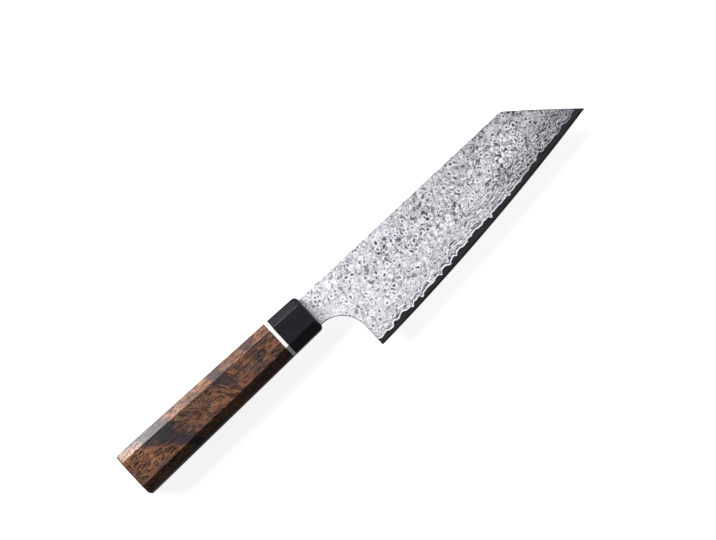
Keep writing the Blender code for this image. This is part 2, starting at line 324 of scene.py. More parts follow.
@dataclass(frozen=True)
class PatternedSteel(Finish):
    """Etched layers of two steels, ground so that their contours show."""

    name: str = "patterned_steel"
    bright: Colour = (0.945, 0.94, 1.0)
    dark: Colour = (0.07, 0.068, 0.087)
    warm_tint: Colour = (1.0, 1.0, 0.955)
    spine_tint: Colour = (0.76, 0.79, 0.73)
    # Painted shade on the eased rims, standing for the dark surroundings that they mirror.
    rim_painted_shade: Colour = (0.3, 0.3, 0.3)
    # Painted shade that darkens the blade towards its tip.
    tip_painted_shade: Colour = (0.45, 0.45, 0.47)
    metallic: float = 0.2
    roughness: float = 0.75
    specular: float = 0.2
    relief_mm: float = 0.005
    spot_cell_mm: float = 3.1
    spot_least_mm: float = 0.6
    spot_spread_mm: float = 0.34
    spot_drift_mm: float = 3.4
    maze_mm: float = 2.4
    maze_drift_mm: float = 5.0
    cluster_mm: float = 7.0
    curl_mm: float = 2.5
    curl_layers: float = 4.5
    ripples_per_mm: float = 0.7
    wave_ripples: float = 3.6
    side_shift_mm: float = 100.0
    # Where each stretch starts and ends along the blade, and the depth of the pattern at both.
    depth_changes_mm: tuple[tuple[float, float, float, float], ...] = (
        (5.0, 60.0, 0.84, 1.0),
        (90.0, 140.0, 1.0, 1.2),
        (148.0, 172.0, 1.0, 0.76),
    )
    spine_y_mm: float = 8.7
    spine_band_mm: float = 2.4
    tip_x_mm: float = 181.0
    tip_band_mm: float = 46.0

    def _spots(self, s: Surface, place: object) -> tuple[Term, Term, Term]:
        """Draw the eyes of the flat part.

        Args:
            s: The material.
            place: Where each point lies, in millimetres.

        Returns:
            Round dark islands, the pale rings round them and the web of lines between, each from 0 to 1.
        """
        scale = 1.0 / self.spot_cell_mm
        cells = s.node("ShaderNodeTexVoronoi", None, {"Vector": place, "Scale": scale})
        away = s.term(cells, "Distance") * self.spot_cell_mm
        chance, size, _ = s.split(cells.outputs["Color"])
        radius = size * self.spot_spread_mm + self.spot_least_mm
        here = s.ease(chance, 0.05, 0.35)
        dark = s.ease(away / radius, 0.5, 1.15, 1.0, 0.0) * here
        ring = s.ease(away / radius, 0.95, 1.25) * s.ease(away / radius, 1.45, 2.05, 1.0, 0.0) * here
        web = s.ease(s.cell_border(place, scale) * self.spot_cell_mm, 0.1, 0.45, 1.0, 0.0)
        return dark, ring, web

    @staticmethod
    def _stripes(s: Surface, value: Term, start: float, end: float) -> Term:
        """Stripes that repeat as a value grows by 1: 0 in the pale ones, 1 in the middle of the dark ones."""
        return s.ease(abs(s.math("FRACT", value) * 2.0 - 1.0), start, end)

    def _upper(self, s: Surface, maze_place: object, spot_place: object, curl: Term) -> Term:
        """Draw the flat part: spots in pale rings, with a maze of fine lines between them.

        Args:
            s: The material.
            maze_place: Where each point lies for the lines, in millimetres.
            spot_place: Where it lies for the spots, with less of a bend.
            curl: Fine curls that both parts share, from 0 to 1.

        Returns:
            How dark it is.
        """
        spot, ring, web = self._spots(s, spot_place)
        rise = abs(s.noise(maze_place, 1.0 / self.maze_mm, 1.0, 0.4) - 0.5)
        line = s.ease(rise, 0.02, 0.055, 0.28, 0.0)
        island = s.ease(rise, 0.085, 0.12, 0.0, 0.42) + s.ease(rise, 0.12, 0.2, 0.0, 0.25)
        clusters = s.noise(s.vector("ADD", maze_place, (31.0, 7.0, 0.0)), 1.0 / self.cluster_mm, 2.0, 0.6)
        cluster = s.ease(clusters, 0.42, 0.6)
        between = 0.02 + (line + island) * (0.8 + cluster * 0.24) + cluster * 0.03 + curl * 0.3 + web * 0.12
        return between * (1.0 - ring * 0.92) + spot * 0.68

    def _lower(self, s: Surface, over_line: Term, shift: Term, curl: Term) -> Term:
        """Draw the ground part: long ripples that follow the core, with small eyes among them.

        Args:
            s: The material.
            over_line: How far each point lies over the core's border, in millimetres.
            shift: What sets the two sides' patterns apart.
            curl: Fine curls that both parts share, from 0 to 1.

        Returns:
            How dark it is.
        """
        wave = s.noise(s.join(s.x * 0.35, s.y, shift + 3.0), 0.5, 1.0, 0.5)
        depth = s.math("MAXIMUM", over_line, 0.0) * self.ripples_per_mm + wave * self.wave_ripples
        flow = self._stripes(s, depth, 0.45, 0.9)
        pale = self._stripes(s, depth + 0.5, 0.55, 0.9)
        eyes = s.ease(s.noise(s.join(s.x * 0.6, s.y, shift + 9.0), 0.9, 1.0), 0.57, 0.65)
        lace = self._stripes(s, depth * 2.2 + 0.3, 0.35, 0.8)
        dark = (0.06 + curl * 0.24 + flow * 0.46 + lace * 0.24) * (1.0 - pale * 0.95) + eyes * 0.46
        return dark * s.ease(s.x, 110.0, 140.0, 1.0, 1.25)

    def _pattern(self, s: Surface, over_line: Term, flat: object, shift: Term) -> Term:
        """Draw the whole pattern, with the pale halo and the seam along the core.

        Args:
            s: The material.
            over_line: How far each point lies over the core's border, in millimetres.
            flat: Where it lies along and across the blade, in millimetres.
            shift: What sets the two sides' patterns apart.

        Returns:
            How dark it is, from 0 to 1.
        """
        waver = s.node("ShaderNodeTexNoise", None, {"Vector": flat, "Scale": 0.3, "Detail": 2.0})
        drift = s.vector("SUBTRACT", waver.outputs["Color"], (0.5, 0.5, 0.5))
        maze_place, spot_place = (
            s.vector("ADD", flat, s.vector("MULTIPLY", drift, (reach, reach, 0.0)))
            for reach in (self.maze_drift_mm, self.spot_drift_mm)
        )
        curl = self._stripes(s, s.noise(maze_place, 1.0 / self.curl_mm, 0.0) * self.curl_layers, 0.3, 0.8)
        low = s.ease(over_line + s.ease(s.x, 30.0, 80.0, 4.5, 0.0), 7.0, 13.0, 1.0, 0.0)
        upper = self._upper(s, maze_place, spot_place, curl) * (1.0 - low)
        lower = self._lower(s, over_line, shift, curl) * low
        strong = s.ease(s.noise(flat, 0.09, 2.0), 0.36, 0.6, 0.88, 1.1)
        for stretch in self.depth_changes_mm:
            strong = strong * s.ease(s.x, *stretch)
        grey = s.clamp((upper + lower) * strong)
        halo = s.ease(s.noise(s.join(s.x, 0.0, shift), 0.13, 2.0), 0.38, 0.6) * 0.6
        halo = halo * s.ease(over_line, 0.7, 2.8, 1.0, 0.0)
        seam = s.ease(over_line, 0.5, 1.0, 1.0, 0.0) * s.ease(s.x, 120.0, 150.0, 1.0, 0.35)
        return s.clamp(grey + halo) * (1.0 - seam)

    def _tints_and_painted_shade(self, s: Surface, over_line: Term, flat: object) -> tuple[tuple[Number, object], ...]:
        """Work out the slow changes of tone over the blade, painted shade among them.

        Args:
            s: The material.
            over_line: How far each point lies over the core's border, in millimetres.
            flat: Where it lies along and across the blade, in millimetres.

        Returns:
            The share and the colour of each tint that the tone is multiplied by: warm patches, painted shade
            along the blade, a tint under the spine, and painted shade at the tip and on the rims.
        """
        # Painted shade: the blade darkens towards the tip, most in its upper part, and also low down at the
        # front.
        painted_shade_falloff = 1.0 - s.ease(s.x, -20.0, 145.0, 0.0, 0.27) * s.ease(over_line, 12.0, 34.0, 0.3, 1.0)
        painted_shade_low_front = s.ease(s.x, 103.0, 128.0, 0.0, 0.19) * s.ease(s.x, 140.0, 160.0, 1.0, 0.0)
        painted_shade_falloff = painted_shade_falloff * (1.0 - painted_shade_low_front * s.ease(over_line, 7.0, 14.0, 1.0, 0.0))
        warm = s.ease(s.noise(flat, 0.06, 1.0), 0.5, 0.66, 0.0, 0.8)
        near_spine = s.ease(s.y, self.spine_y_mm - self.spine_band_mm, self.spine_y_mm, 0.0, 0.7)
        # Painted shade towards the tip.
        tip_shade_share = s.ease(s.x, self.tip_x_mm - self.tip_band_mm, self.tip_x_mm - 3.0)
        # Painted shade on the eased rims.
        rim_shade_share = s.ease(s.attribute("over_rim"), 0.1, 0.65, 1.0, 0.0)
        return (
            (warm, self.warm_tint),
            (1.0, s.join(painted_shade_falloff, painted_shade_falloff, painted_shade_falloff)),
            (near_spine, self.spine_tint),
            (tip_shade_share, self.tip_painted_shade),
            (rim_shade_share, self.rim_painted_shade),
        )

    def dress(self, s: Surface) -> None:
        """Draw the pattern, its tints and its painted shade, and set the gloss.

        Args:
            s: The material.
        """
        over_line = s.attribute("over_line")
        shift = (s.z > 0.0) * self.side_shift_mm
        flat = s.join(s.x, s.y, shift)
        grey = self._pattern(s, over_line, flat, shift)
        tone = s.blend(grey, self.bright, self.dark)
        for share, tint in self._tints_and_painted_shade(s, over_line, flat):
            tone = s.blend(share, tone, tint, "MULTIPLY")
        s.set({"Base Color": tone, "Metallic": self.metallic, "Roughness": self.roughness})
        s.set({"Specular IOR Level": self.specular})
        s.bump(1.0 - grey, self.relief_mm)


@dataclass(frozen=True)
class CoreSteel(Finish):
    """Hard steel, etched dark, with a narrow bright cutting bevel."""

    name: str = "core_steel"
    dark: Colour = (0.034, 0.034, 0.036)
    light: Colour = (0.125, 0.125, 0.13)
    bevel: Colour = (0.16, 0.16, 0.17)
    bevel_mm: float = 0.45
    roughness: float = 0.36
    roughness_spread: float = 0.1
    relief_mm: float = 0.002

    def dress(self, s: Surface) -> None:
        """Draw the streaks and the bevel, and set the gloss.

        Args:
            s: The material.
        """
        over_edge = s.attribute("over_edge")
        streaks = s.noise(s.join(s.x * 0.12, over_edge * 5.0, s.z), 1.0, 3.0, 0.6)
        tone = s.ramp(streaks, ((0.3, self.dark), (0.75, self.light)))
        inside = s.ease(s.attribute("over_line"), -0.7, -0.2, 1.0, 0.5)
        inside = inside * s.ease(over_edge, 0.6, 1.2, 0.45, 1.0)
        tone = s.blend(1.0, tone, s.join(inside, inside, inside), "MULTIPLY")
        on_bevel = s.ease(over_edge, self.bevel_mm * 0.85, self.bevel_mm, 1.0, 0.0)
        tone = s.blend(on_bevel, tone, self.bevel)
        roughness = self.roughness + streaks * self.roughness_spread
        s.set({"Base Color": tone, "Metallic": 1.0, "Roughness": roughness})
        s.bump(streaks, self.relief_mm)


@dataclass(frozen=True)
class BlackHorn(Finish):
    """Polished black horn with faint grey growth streaks."""

    name: str = "black_horn"
    black: Colour = (0.008, 0.0082, 0.0112)
    grey: Colour = (0.019, 0.0195, 0.026)
    roughness: float = 0.2
    roughness_spread: float = 0.06
    specular: float = 0.42
    relief_mm: float = 0.003

    def dress(self, s: Surface) -> None:
        """Draw the streaks, and set the gloss.

        Args:
            s: The material.
        """
        streaks = s.noise(s.join(s.x * 0.12, s.y, s.z), 0.9, 4.0, 0.6)
        scuffs = s.noise(s.place, 0.8, 2.0, 0.5)
        tone = s.ramp(streaks, ((0.35, self.black), (0.8, self.grey)))
        roughness = self.roughness + scuffs * self.roughness_spread
        s.set({"Base Color": tone, "Roughness": roughness, "Specular IOR Level": self.specular})
        s.bump(scuffs, self.relief_mm)


@dataclass(frozen=True)
class NickelSilver(Finish):
    """Bright white metal, finely brushed across the handle."""

    name: str = "nickel_silver"
    tone: Colour = (0.97, 0.965, 0.95)
    shade: Colour = (0.88, 0.875, 0.86)
    metallic: float = 0.9
    roughness: float = 0.5
    roughness_spread: float = 0.12
    relief_mm: float = 0.003

    def dress(self, s: Surface) -> None:
        """Draw the brushing, and set the gloss.

        Args:
            s: The material.
        """
        brushing = s.noise(s.join(s.x * 14.0, s.y * 0.4, s.z * 0.4), 1.0, 2.0, 0.6)
        tone = s.blend(brushing, self.shade, self.tone)
        roughness = self.roughness + brushing * self.roughness_spread
        s.set({"Base Color": tone, "Metallic": self.metallic, "Roughness": roughness})
        s.bump(brushing, self.relief_mm)


@dataclass(frozen=True)
class DarkCloud:
    """A dark patch that runs across the wood, in millimetres of the knife's own frame."""

    x_mm: float
    slant: float
    half_mm: float
    widening: float
    border: Point
    share: float
    least_half_mm: float = 0.4

    def draw(self, s: Surface, ragged: Term) -> Term:
        """Draw the patch.

        Args:
            s: The material.
            ragged: What makes its border ragged.

        Returns:
            How much of the patch's colour there is.
        """
        half = s.math("MAXIMUM", s.y * self.widening + self.half_mm, self.least_half_mm)
        reach = abs(s.x - self.x_mm - s.y * self.slant) / half
        return s.ease(reach + ragged, *self.border, 1.0, 0.0) * self.share


@dataclass(frozen=True)
class FiguredWood(Finish):
    """Oiled dark hardwood in orange, purple-brown and olive, with dark clouds and grain that bends down."""

    name: str = "figured_wood"
    gold: Colour = (0.252, 0.105, 0.044)
    rose: Colour = (0.206, 0.071, 0.059)
    olive: Colour = (0.118, 0.08, 0.044)
    purple: Colour = (0.088, 0.036, 0.037)
    fleck: Colour = (0.48, 0.26, 0.15)
    dark: Colour = (0.012, 0.006, 0.005)
    navy: Colour = (0.013, 0.011, 0.024)
    teal: Colour = (0.018, 0.024, 0.027)
    roughness: float = 0.24
    pore_roughness: float = 0.25
    dull_roughness: float = 0.2
    specular: float = 0.35
    relief_mm: float = 0.02
    butt_x_mm: float = -128.0
    sway_mm: float = 4.5
    # Where each bend starts and ends along the grip, and how far the grain drops in it.
    bends_mm: tuple[tuple[float, float, float], ...] = ((-94.0, -70.0, 8.0), (-67.0, -50.0, 16.0))
    clouds: tuple[DarkCloud, ...] = (
        DarkCloud(x_mm=-97.5, slant=-0.68, half_mm=6.6, widening=0.33, border=(0.45, 1.5), share=0.88),
        DarkCloud(x_mm=-56.0, slant=-0.4, half_mm=2.4, widening=0.35, border=(0.5, 1.3), share=0.75),
        DarkCloud(x_mm=-36.5, slant=0.1, half_mm=1.6, widening=0.3, border=(0.4, 1.4), share=0.6),
    )

    @staticmethod
    def _figure(
        s: Surface, across: Term, grain: Point, detail: float, roughness: float, scale: float = 1.0
    ) -> Term:
        """Noise that is drawn out along the grain.

        Args:
            s: The material.
            across: The place across the grain, bent with it.
            grain: How many waves a millimetre holds along the grain and across it.
            detail: The noise's detail.
            roughness: The noise's roughness.
            scale: The noise's scale.

        Returns:
            The noise, from 0 to 1.
        """
        along, over = grain
        return s.noise(s.join(s.x * along, across * over, s.z * over), scale, detail, roughness)

    def _body(self, s: Surface, across: Term, fine: Term, hue: Term) -> bpy.types.NodeSocket:
        """Colour the wood between its clouds.

        Args:
            s: The material.
            across: The place across the grain.
            fine: The finest figure.
            hue: The slow figure that picks the colour.

        Returns:
            The colour.
        """
        streak = self._figure(s, across, (0.26, 1.5), 3.0, 0.55)
        patch = self._figure(s, across, (0.13, 0.3), 2.0, 0.5)
        warm = s.ease(s.x, -113.0, -101.0, 1.0, 0.0) + s.ease(abs(s.x + 63.0), 5.0, 11.0, 1.0, 0.0)
        rosy = s.ease(abs(s.x + 78.0), 8.0, 14.0, 0.03, 0.0)
        stops = ((0.38, self.purple), (0.45, self.olive), (0.51, self.rose), (0.58, self.gold))
        body = s.ramp(hue + warm * 0.06 - rosy, stops)
        light = s.ease(streak * 0.44 + fine * 0.34 + patch * 0.22, 0.44, 0.56)
        calm = s.ease(abs(s.x + 77.0), 5.0, 12.0, 0.05, 0.0)
        tone = s.blend(light * (0.97 - calm) + calm + 0.03, self.dark, body)
        return s.blend(s.ease(fine, 0.53, 0.63, 0.0, 0.6) * light * (0.6 + warm * 0.4), tone, self.fleck)

    def dress(self, s: Surface) -> None:
        """Draw the grain, the clouds, the pores and the darker butt edge, which is end grain and painted
        shade, and set the gloss.

        Args:
            s: The material.
        """
        across = s.y + (self._figure(s, s.y, (0.07, 0.2), 2.0, 0.5) - 0.5) * self.sway_mm
        for start, end, drop in self.bends_mm:
            across = across + s.ease(s.x, start, end, 0.0, drop)
        fine = self._figure(s, across, (1.1, 3.6), 2.0, 0.6, 0.9)
        hue = self._figure(s, across, (0.12, 0.33), 3.0, 0.65)
        tone = self._body(s, across, fine, hue)
        ragged = (self._figure(s, across, (0.12, 0.55), 3.0, 0.6) - 0.5) * 1.9
        cloud_colour = s.blend(s.ease(hue, 0.42, 0.56), self.teal, self.navy)
        for cloud in self.clouds:
            tone = s.blend(cloud.draw(s, ragged), tone, cloud_colour)
        in_pore = s.ease(self._figure(s, across, (0.7, 6.5), 1.0, 0.5), 0.63, 0.7)
        # The rounded butt edge is darkened: partly its end grain, partly painted shade of the edge turning
        # away from the light.
        butt_end_grain_and_shade = s.ease(s.x, self.butt_x_mm + 0.3, self.butt_x_mm + 1.3, 0.75, 0.0)
        for share in (in_pore * 0.6, butt_end_grain_and_shade):
            tone = s.blend(share, tone, self.dark)
        dull = s.ease(self._figure(s, s.y, (0.04, 2.1), 3.0, 0.65), 0.46, 0.58)
        roughness = self.roughness + in_pore * self.pore_roughness + dull * self.dull_roughness
        s.set({"Base Color": tone, "Roughness": roughness, "Specular IOR Level": self.specular})
        s.bump(fine * 0.5 - in_pore * 0.7 - dull * 0.4, self.relief_mm)


@dataclass(frozen=True)
class PlainFinish(Finish):
    """A simple grained or mottled finish for the pieces inside the handle."""

    light: Colour
    dark: Colour
    stretch: float
    scale: float
    roughness: float
    roughness_spread: float = 0.15
    relief_mm: float = 0.01

    def dress(self, s: Surface) -> None:
        """Draw the grain, and set the gloss.

        Args:
            s: The material.
        """
        grain = s.noise(s.join(s.x / self.stretch, s.y, s.z), self.scale, 3.0, 0.6)
        tone = s.blend(grain, self.dark, self.light)
        s.set({"Base Color": tone, "Roughness": self.roughness + grain * self.roughness_spread})
        s.bump(grain, self.relief_mm)


def add_object(name: str, data: bpy.types.ID) -> bpy.types.Object:
    """Put a new object into the scene.

    Args:
        name: The object's name.
        data: Its mesh, lamp or camera.

    Returns:
        The object.
    """
    made = bpy.data.objects.new(name, data)
    bpy.context.scene.collection.objects.link(made)
    return made


def mesh_of(name: str, shape: bmesh.types.BMesh) -> bpy.types.Mesh:
    """Turn a shape into a mesh, and let go of the shape.

    Args:
        name: The mesh's name.
        shape: The finished shape.

    Returns:
        The mesh.
    """
    mesh = bpy.data.meshes.new(name)
    shape.to_mesh(mesh)
    shape.free()
    return mesh


def evaluated_mesh(item: bpy.types.Object) -> bpy.types.Mesh:
    """Run an object's modifiers.

    Args:
        item: The object.

    Returns:
        The result as a plain mesh.
    """
    bpy.context.view_layer.update()
    graph = bpy.context.evaluated_depsgraph_get()
    return bpy.data.meshes.new_from_object(item.evaluated_get(graph), depsgraph=graph)


def dress_mesh(mesh: bpy.types.Mesh, material: bpy.types.Material) -> None:
    """Give a mesh its one material."""
    mesh.materials.clear()
    mesh.materials.append(material)


def place_piece(name: str, mesh: bpy.types.Mesh, material: bpy.types.Material) -> bpy.types.Object:
    """Make an object of a finished mesh, in the one material."""
    dress_mesh(mesh, material)
    return add_object(name, mesh)


def hand_over(piece: bpy.types.Object, node: str) -> None:
    """Let a piece ride on the knife in place of a node, and log it.

    Args:
        piece: The finished piece.
        node: The node that it takes the place of.
    """
    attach(piece, ROOT)
    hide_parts(node)
    LOG.info("%s: %d faces in place of %s", piece.name, len(piece.data.polygons), node)


@dataclass(frozen=True)
class Wave:
    """One wave in the core's border: its height and length in millimetres, and its row of the noise."""

    height_mm: float
    length_mm: float
    row: float


@dataclass(frozen=True)
class Lift:
    """One rise of the core's border: its height in millimetres, and its place and half length in metres."""

    height_mm: float
    behind_tip: float
    reach: float
    crest: float = 1.0

    def at(self, behind_tip: float) -> float:
        """The rise in mm this far behind the tip. Its top is flat where its crest is over 1."""
        share = self.crest - abs(behind_tip - self.behind_tip) / self.reach
        return self.height_mm * min(1.0, max(0.0, share))


@dataclass
class Blade:
    """The three-layer blade with its tang. Lengths are in metres, places in the knife's own frame."""

    origin: Vector
    neck_height: float = 0.0180
    neck_length: float = 0.0007
    spine_y: float = 0.0087
    choil_run: float = 0.0160
    choil_height: float = 0.0161
    heel_straight: float = 0.0141
    blade_length: float = 0.1643
    tip_drop: float = 0.0294
    point_run: float = 0.0340
    edge_belly: float = 0.0025
    point_belly: float = 0.0003
    spine_thickness: float = 0.0020
    corner_thickness: float = 0.0016
    grind_top_thickness: float = 0.0016
    core_thickness: float = 0.0006
    layer_gap: float = 0.00002
    grind_height: float = 0.0130
    core_line_height: float = 0.0040
    bevel_height: float = 0.0005
    seat_depth: float = 0.0015
    tang_length: float = 0.0780
    tang_front_height: float = 0.0075
    tang_end_height: float = 0.0050
    tang_end_thickness: float = 0.0016
    eased: float = 0.0002
    support: float = 0.00015
    column_step: float = 0.00028
    ease_steps: int = 3
    ridge_blend: float = 0.00006
    lip: float = 0.00001
    lip_top: float = 0.0075
    lip_run: float = 0.0005
    tang_columns: int = 6
    neck_columns: int = 3
    choil_columns: int = 30
    upper_rows: int = 22
    lower_rows: int = 4
    line_seed: float = 3.0
    line_height: float = 0.0027
    line_drift: Wave = Wave(height_mm=0.9, length_mm=31.0, row=14.0)
    line_scallops: tuple[Wave, ...] = (
        Wave(height_mm=3.0, length_mm=6.5, row=0.0),
        Wave(height_mm=0.8, length_mm=3.1, row=4.0),
    )
    line_nicks: Wave = Wave(height_mm=0.25, length_mm=1.1, row=9.0)
    line_teeth: Wave = Wave(height_mm=1.0, length_mm=3.7, row=30.0)
    least_teeth: float = 2.0
    most_teeth: float = 5.0
    teeth_growth_mm: float = 12.0
    teeth_start_mm: float = 0.22
    line_lifts: tuple[Lift, ...] = (
        Lift(height_mm=1.2, behind_tip=0.078, reach=0.015, crest=1.6),
        Lift(height_mm=0.9, behind_tip=0.034, reach=0.018),
    )
    point_lift_mm: float = 2.6
    point_lift_run: float = 0.010
    point_lift_power: float = 1.3
    heel_lift_mm: float = 0.9
    heel_lift_run: float = 0.004
    grind_start: float = 0.001
    past_tip: float = 0.001
    ease_share: float = 0.6
    smooth_angle: float = math.radians(40)
    foot_offsets: tuple[float, ...] = (0.0, 0.00015, 0.00035, 0.0007, 0.0012, 0.0020)
    core_offsets: tuple[float, ...] = (0.0, 0.00025, 0.0005, 0.0009, 0.0016, 0.0026, 0.0036, 0.0048, 0.0062)
    neck_bottom: float = field(init=False)
    choil_end: float = field(init=False)
    heel: Vector = field(init=False)
    tip: Vector = field(init=False)
    corner: Vector = field(init=False)
    edge_centre: Vector = field(init=False)
    edge_radius: float = field(init=False)
    point_centre: Vector = field(init=False)
    point_radius: float = field(init=False)
    bed: float = field(init=False)

    def __post_init__(self) -> None:
        """Work out the corners and the arcs of the outline."""
        self.neck_bottom = self.spine_y - self.neck_height
        self.choil_end = self.neck_bottom - self.choil_height
        self.heel = Vector((self.neck_length + self.choil_run, self.choil_end - self.heel_straight))
        self.tip = Vector((self.heel.x + self.blade_length, self.spine_y - self.tip_drop))
        self.corner = Vector((self.tip.x - self.point_run, self.spine_y))
        self.edge_centre, self.edge_radius = self._arc(self.heel, self.tip, self.edge_belly)
        self.point_centre, self.point_radius = self._arc(self.tip, self.corner, self.point_belly)
        self.bed = self.core_thickness / 2 + self.layer_gap

    @staticmethod
    def _arc(start: Vector, end: Vector, belly: float) -> tuple[Vector, float]:
        """Find the arc from start to end that bulges to the right of the way.

        Args:
            start: Its first end.
            end: Its last end.
            belly: How far its middle lies off the chord.

        Returns:
            Its centre and its radius.
        """
        chord = end - start
        half = chord.length / 2
        radius = (half**2 + belly**2) / (2 * belly)
        left = Vector((-chord.y, chord.x)).normalized()
        return (start + end) / 2 + left * (radius - belly), radius

    def over_edge(self, x: float, y: float) -> float:
        """How far a place lies over the cutting edge."""
        return self.edge_radius - math.hypot(x - self.edge_centre.x, y - self.edge_centre.y)

    def over_edge_y(self, x: float, height: float) -> float:
        """The y of the line that runs at this height over the cutting edge."""
        drop = math.sqrt((self.edge_radius - height) ** 2 - (x - self.edge_centre.x) ** 2)
        return self.edge_centre.y - drop

    def top_y(self, x: float, inset: float) -> float:
        """Find the top of the blade.

        Args:
            x: The place along the blade.
            inset: How far the outline is drawn in.

        Returns:
            The y of the spine, or of the point line past its corner.
        """
        spine = self.spine_y - inset
        if x <= self.corner.x - inset:
            return spine
        fall = (self.point_radius - inset) ** 2 - (x - self.point_centre.x) ** 2
        return min(spine, self.point_centre.y + math.sqrt(fall))

    def corner_x(self, inset: float) -> float:
        """Where the spine and the point line meet when both are drawn in by inset."""
        rise = self.spine_y - inset - self.point_centre.y
        return self.point_centre.x + math.sqrt((self.point_radius - inset) ** 2 - rise**2)

    def over_rim(self, x: float, y: float) -> float:
        """Measure how far a place lies inside the rim.

        Args:
            x: The place along the blade.
            y: The place across it.

        Returns:
            The distance to the choil, the heel or the point line, whichever is the nearest.
        """
        to_point = self.point_radius - math.hypot(x - self.point_centre.x, y - self.point_centre.y)
        if y < self.choil_end:
            return min(to_point, x - self.heel.x)
        across = (x - self.neck_length) / self.choil_run
        up = (y - self.choil_end) / self.choil_height
        return min(to_point, (math.hypot(max(across, 0.0), up) - 1.0) * self.choil_run)

    def core_line(self, x: float) -> float:
        """Find the border of the outer layer: a line that wavers, steps down in teeth and rises at the point.

        Args:
            x: The place along the blade.

        Returns:
            Its height over the cutting edge.
        """
        along = x * MILLIMETRES

        def ripple(wave: Wave) -> float:
            """A wavering height in mm, mostly within 0.6 of the wave's."""
            return wave.height_mm * noise.noise(Vector((along / wave.length_mm, self.line_seed, wave.row)))

        scallops = sum(abs(ripple(wave)) for wave in self.line_scallops) + ripple(self.line_nicks)
        growth = min(self.most_teeth, max(self.least_teeth, along / self.teeth_growth_mm))
        teeth = growth * max(0.0, ripple(self.line_teeth) - self.teeth_start_mm)
        behind_tip = self.tip.x - x
        at_point = max(0.0, 1.0 - behind_tip / self.point_lift_run) ** self.point_lift_power
        at_heel = max(0.0, 1.0 - (x - self.heel.x) / self.heel_lift_run)
        lift = sum(rise.at(behind_tip) for rise in self.line_lifts)
        lift += self.point_lift_mm * at_point + self.heel_lift_mm * at_heel
        return self.line_height + (ripple(self.line_drift) + scallops - teeth + lift) / MILLIMETRES

    def flat_half(self, x: float, y: float) -> float:
        """Measure the blade's flat upper part.

        Args:
            x: The place along the blade.
            y: The place across it.

        Returns:
            Half its thickness.
        """
        fall = self.spine_y - self.over_edge_y(self.heel.x, self.grind_height)
        share = (max(x, self.neck_length) - self.neck_length) / (self.corner.x - self.neck_length)
        to_point = (self.spine_thickness - self.corner_thickness) / 2 * share
        to_edge = (self.spine_thickness - self.grind_top_thickness) / 2 * (self.spine_y - y) / fall
        return self.spine_thickness / 2 - to_point - to_edge

    def outer_half(self, x: float, y: float) -> float:
        """Measure the whole blade: flat above, ground below, with a soft ridge between.

        Args:
            x: The place along the blade.
            y: The place across it.

        Returns:
            Half its thickness.
        """
        if x < -self.seat_depth:
            share = (x + self.seat_depth) / -self.tang_length
            return self.flat_half(x, y) - (self.flat_half(x, 0.0) - self.tang_end_thickness / 2) * share
        flat = self.flat_half(x, y)
        if x < self.heel.x - self.grind_start:
            return flat
        top = self.flat_half(x, self.over_edge_y(x, self.grind_height))
        share = (self.over_edge(x, y) - self.core_line_height) / (self.grind_height - self.core_line_height)
        return smooth_least(flat, mix(self.bed, top, share), self.ridge_blend)

    def _inner_half(self, x: float, y: float, gap: float, plain: float) -> float:
        """Measure a surface that lies just under the outer one near the edge and is flat above.

        Args:
            x: The place along the blade.
            y: The place across it.
            gap: How far it lies under the outer one.
            plain: Its half thickness above.

        Returns:
            Its half thickness.
        """
        height = self.over_edge(x, y)
        near = self.outer_half(x, y) - gap
        if x < self.heel.x - self.grind_start or height > self.lip_top + self.lip_run:
            return plain
        if height < self.lip_top:
            return near
        return mix(near, plain, (height - self.lip_top) / self.lip_run)

    def bed_half(self, x: float, y: float) -> float:
        """Half thickness at the outer layer's inner face."""
        return self._inner_half(x, y, self.lip, self.bed)

    def core_half(self, x: float, y: float) -> float:
        """Measure the core, which comes to nothing at the cutting edge.

        Args:
            x: The place along the blade.
            y: The place across it.

        Returns:
            Half its thickness.
        """
        height = self.over_edge(x, y)
        on_bevel = x > self.heel.x - self.grind_start and height < self.bevel_height
        share = max(0.0, height) / self.bevel_height if on_bevel else 1.0
        row_y = self.over_edge_y(x, self.bevel_height) if on_bevel else y
        return self._inner_half(x, row_y, 2 * self.lip, self.core_thickness / 2) * share

    def _upper(self, low: float, high: float) -> list[float]:
        """Place the rows of the upper part, with a support row close to each end.

        Args:
            low: The y of its lower end.
            high: The y of its upper end.

        Returns:
            The rows' y, from low to high.
        """
        step = min(self.support, (high - low) / 4)
        inner = [mix(low + step, high - step, i / (self.upper_rows - 2)) for i in range(self.upper_rows - 1)]
        return [low, *inner, high]

    def _lower(self, low: float, high: float, offsets: Sequence[float]) -> list[float]:
        """Place the rows of the lower part: the offsets, then even steps.

        Args:
            low: The y of its lower end.
            high: The y of its upper end, where the upper part starts.
            offsets: Where the first rows lie over low.

        Returns:
            The rows' y, from low up to but not at high.
        """
        squeeze = min(1.0, (high - low) / (2 * offsets[-1]))
        near = [low + offset * squeeze for offset in offsets]
        return near + [mix(near[-1], high, i / self.lower_rows) for i in range(1, self.lower_rows)]

    def columns(self, foot: Callable[[float], float], offsets: Sequence[float], inset: float) -> Grid:
        """Lay out the grid that covers one layer's face.

        Args:
            foot: The layer's lower boundary, y for each x.
            offsets: Where the first rows lie over the foot.
            inset: How far the outline is drawn in.

        Returns:
            For each column, from the tang's end to the point, its points by row number.
        """
        below = len(offsets) + self.lower_rows - 1
        heel_x = self.heel.x + inset
        heel_share = (self.choil_end - foot(heel_x)) / (self.top_y(heel_x, inset) - foot(heel_x))
        front_x = bisect(lambda x: self.top_y(x, inset) > foot(x), self.corner.x, self.tip.x + self.past_tip)
        corner_x = self.corner_x(inset)
        shoulder_x = -self.seat_depth + inset
        shoulder = self._upper(self.neck_bottom + inset, self.spine_y - inset)
        tang_half = self.tang_front_height / 2 - inset
        low_row = min(range(len(shoulder)), key=lambda i: abs(shoulder[i] + tang_half))
        high_row = min(range(len(shoulder)), key=lambda i: abs(shoulder[i] - tang_half))
        shoulder[low_row], shoulder[high_row] = -tang_half, tang_half

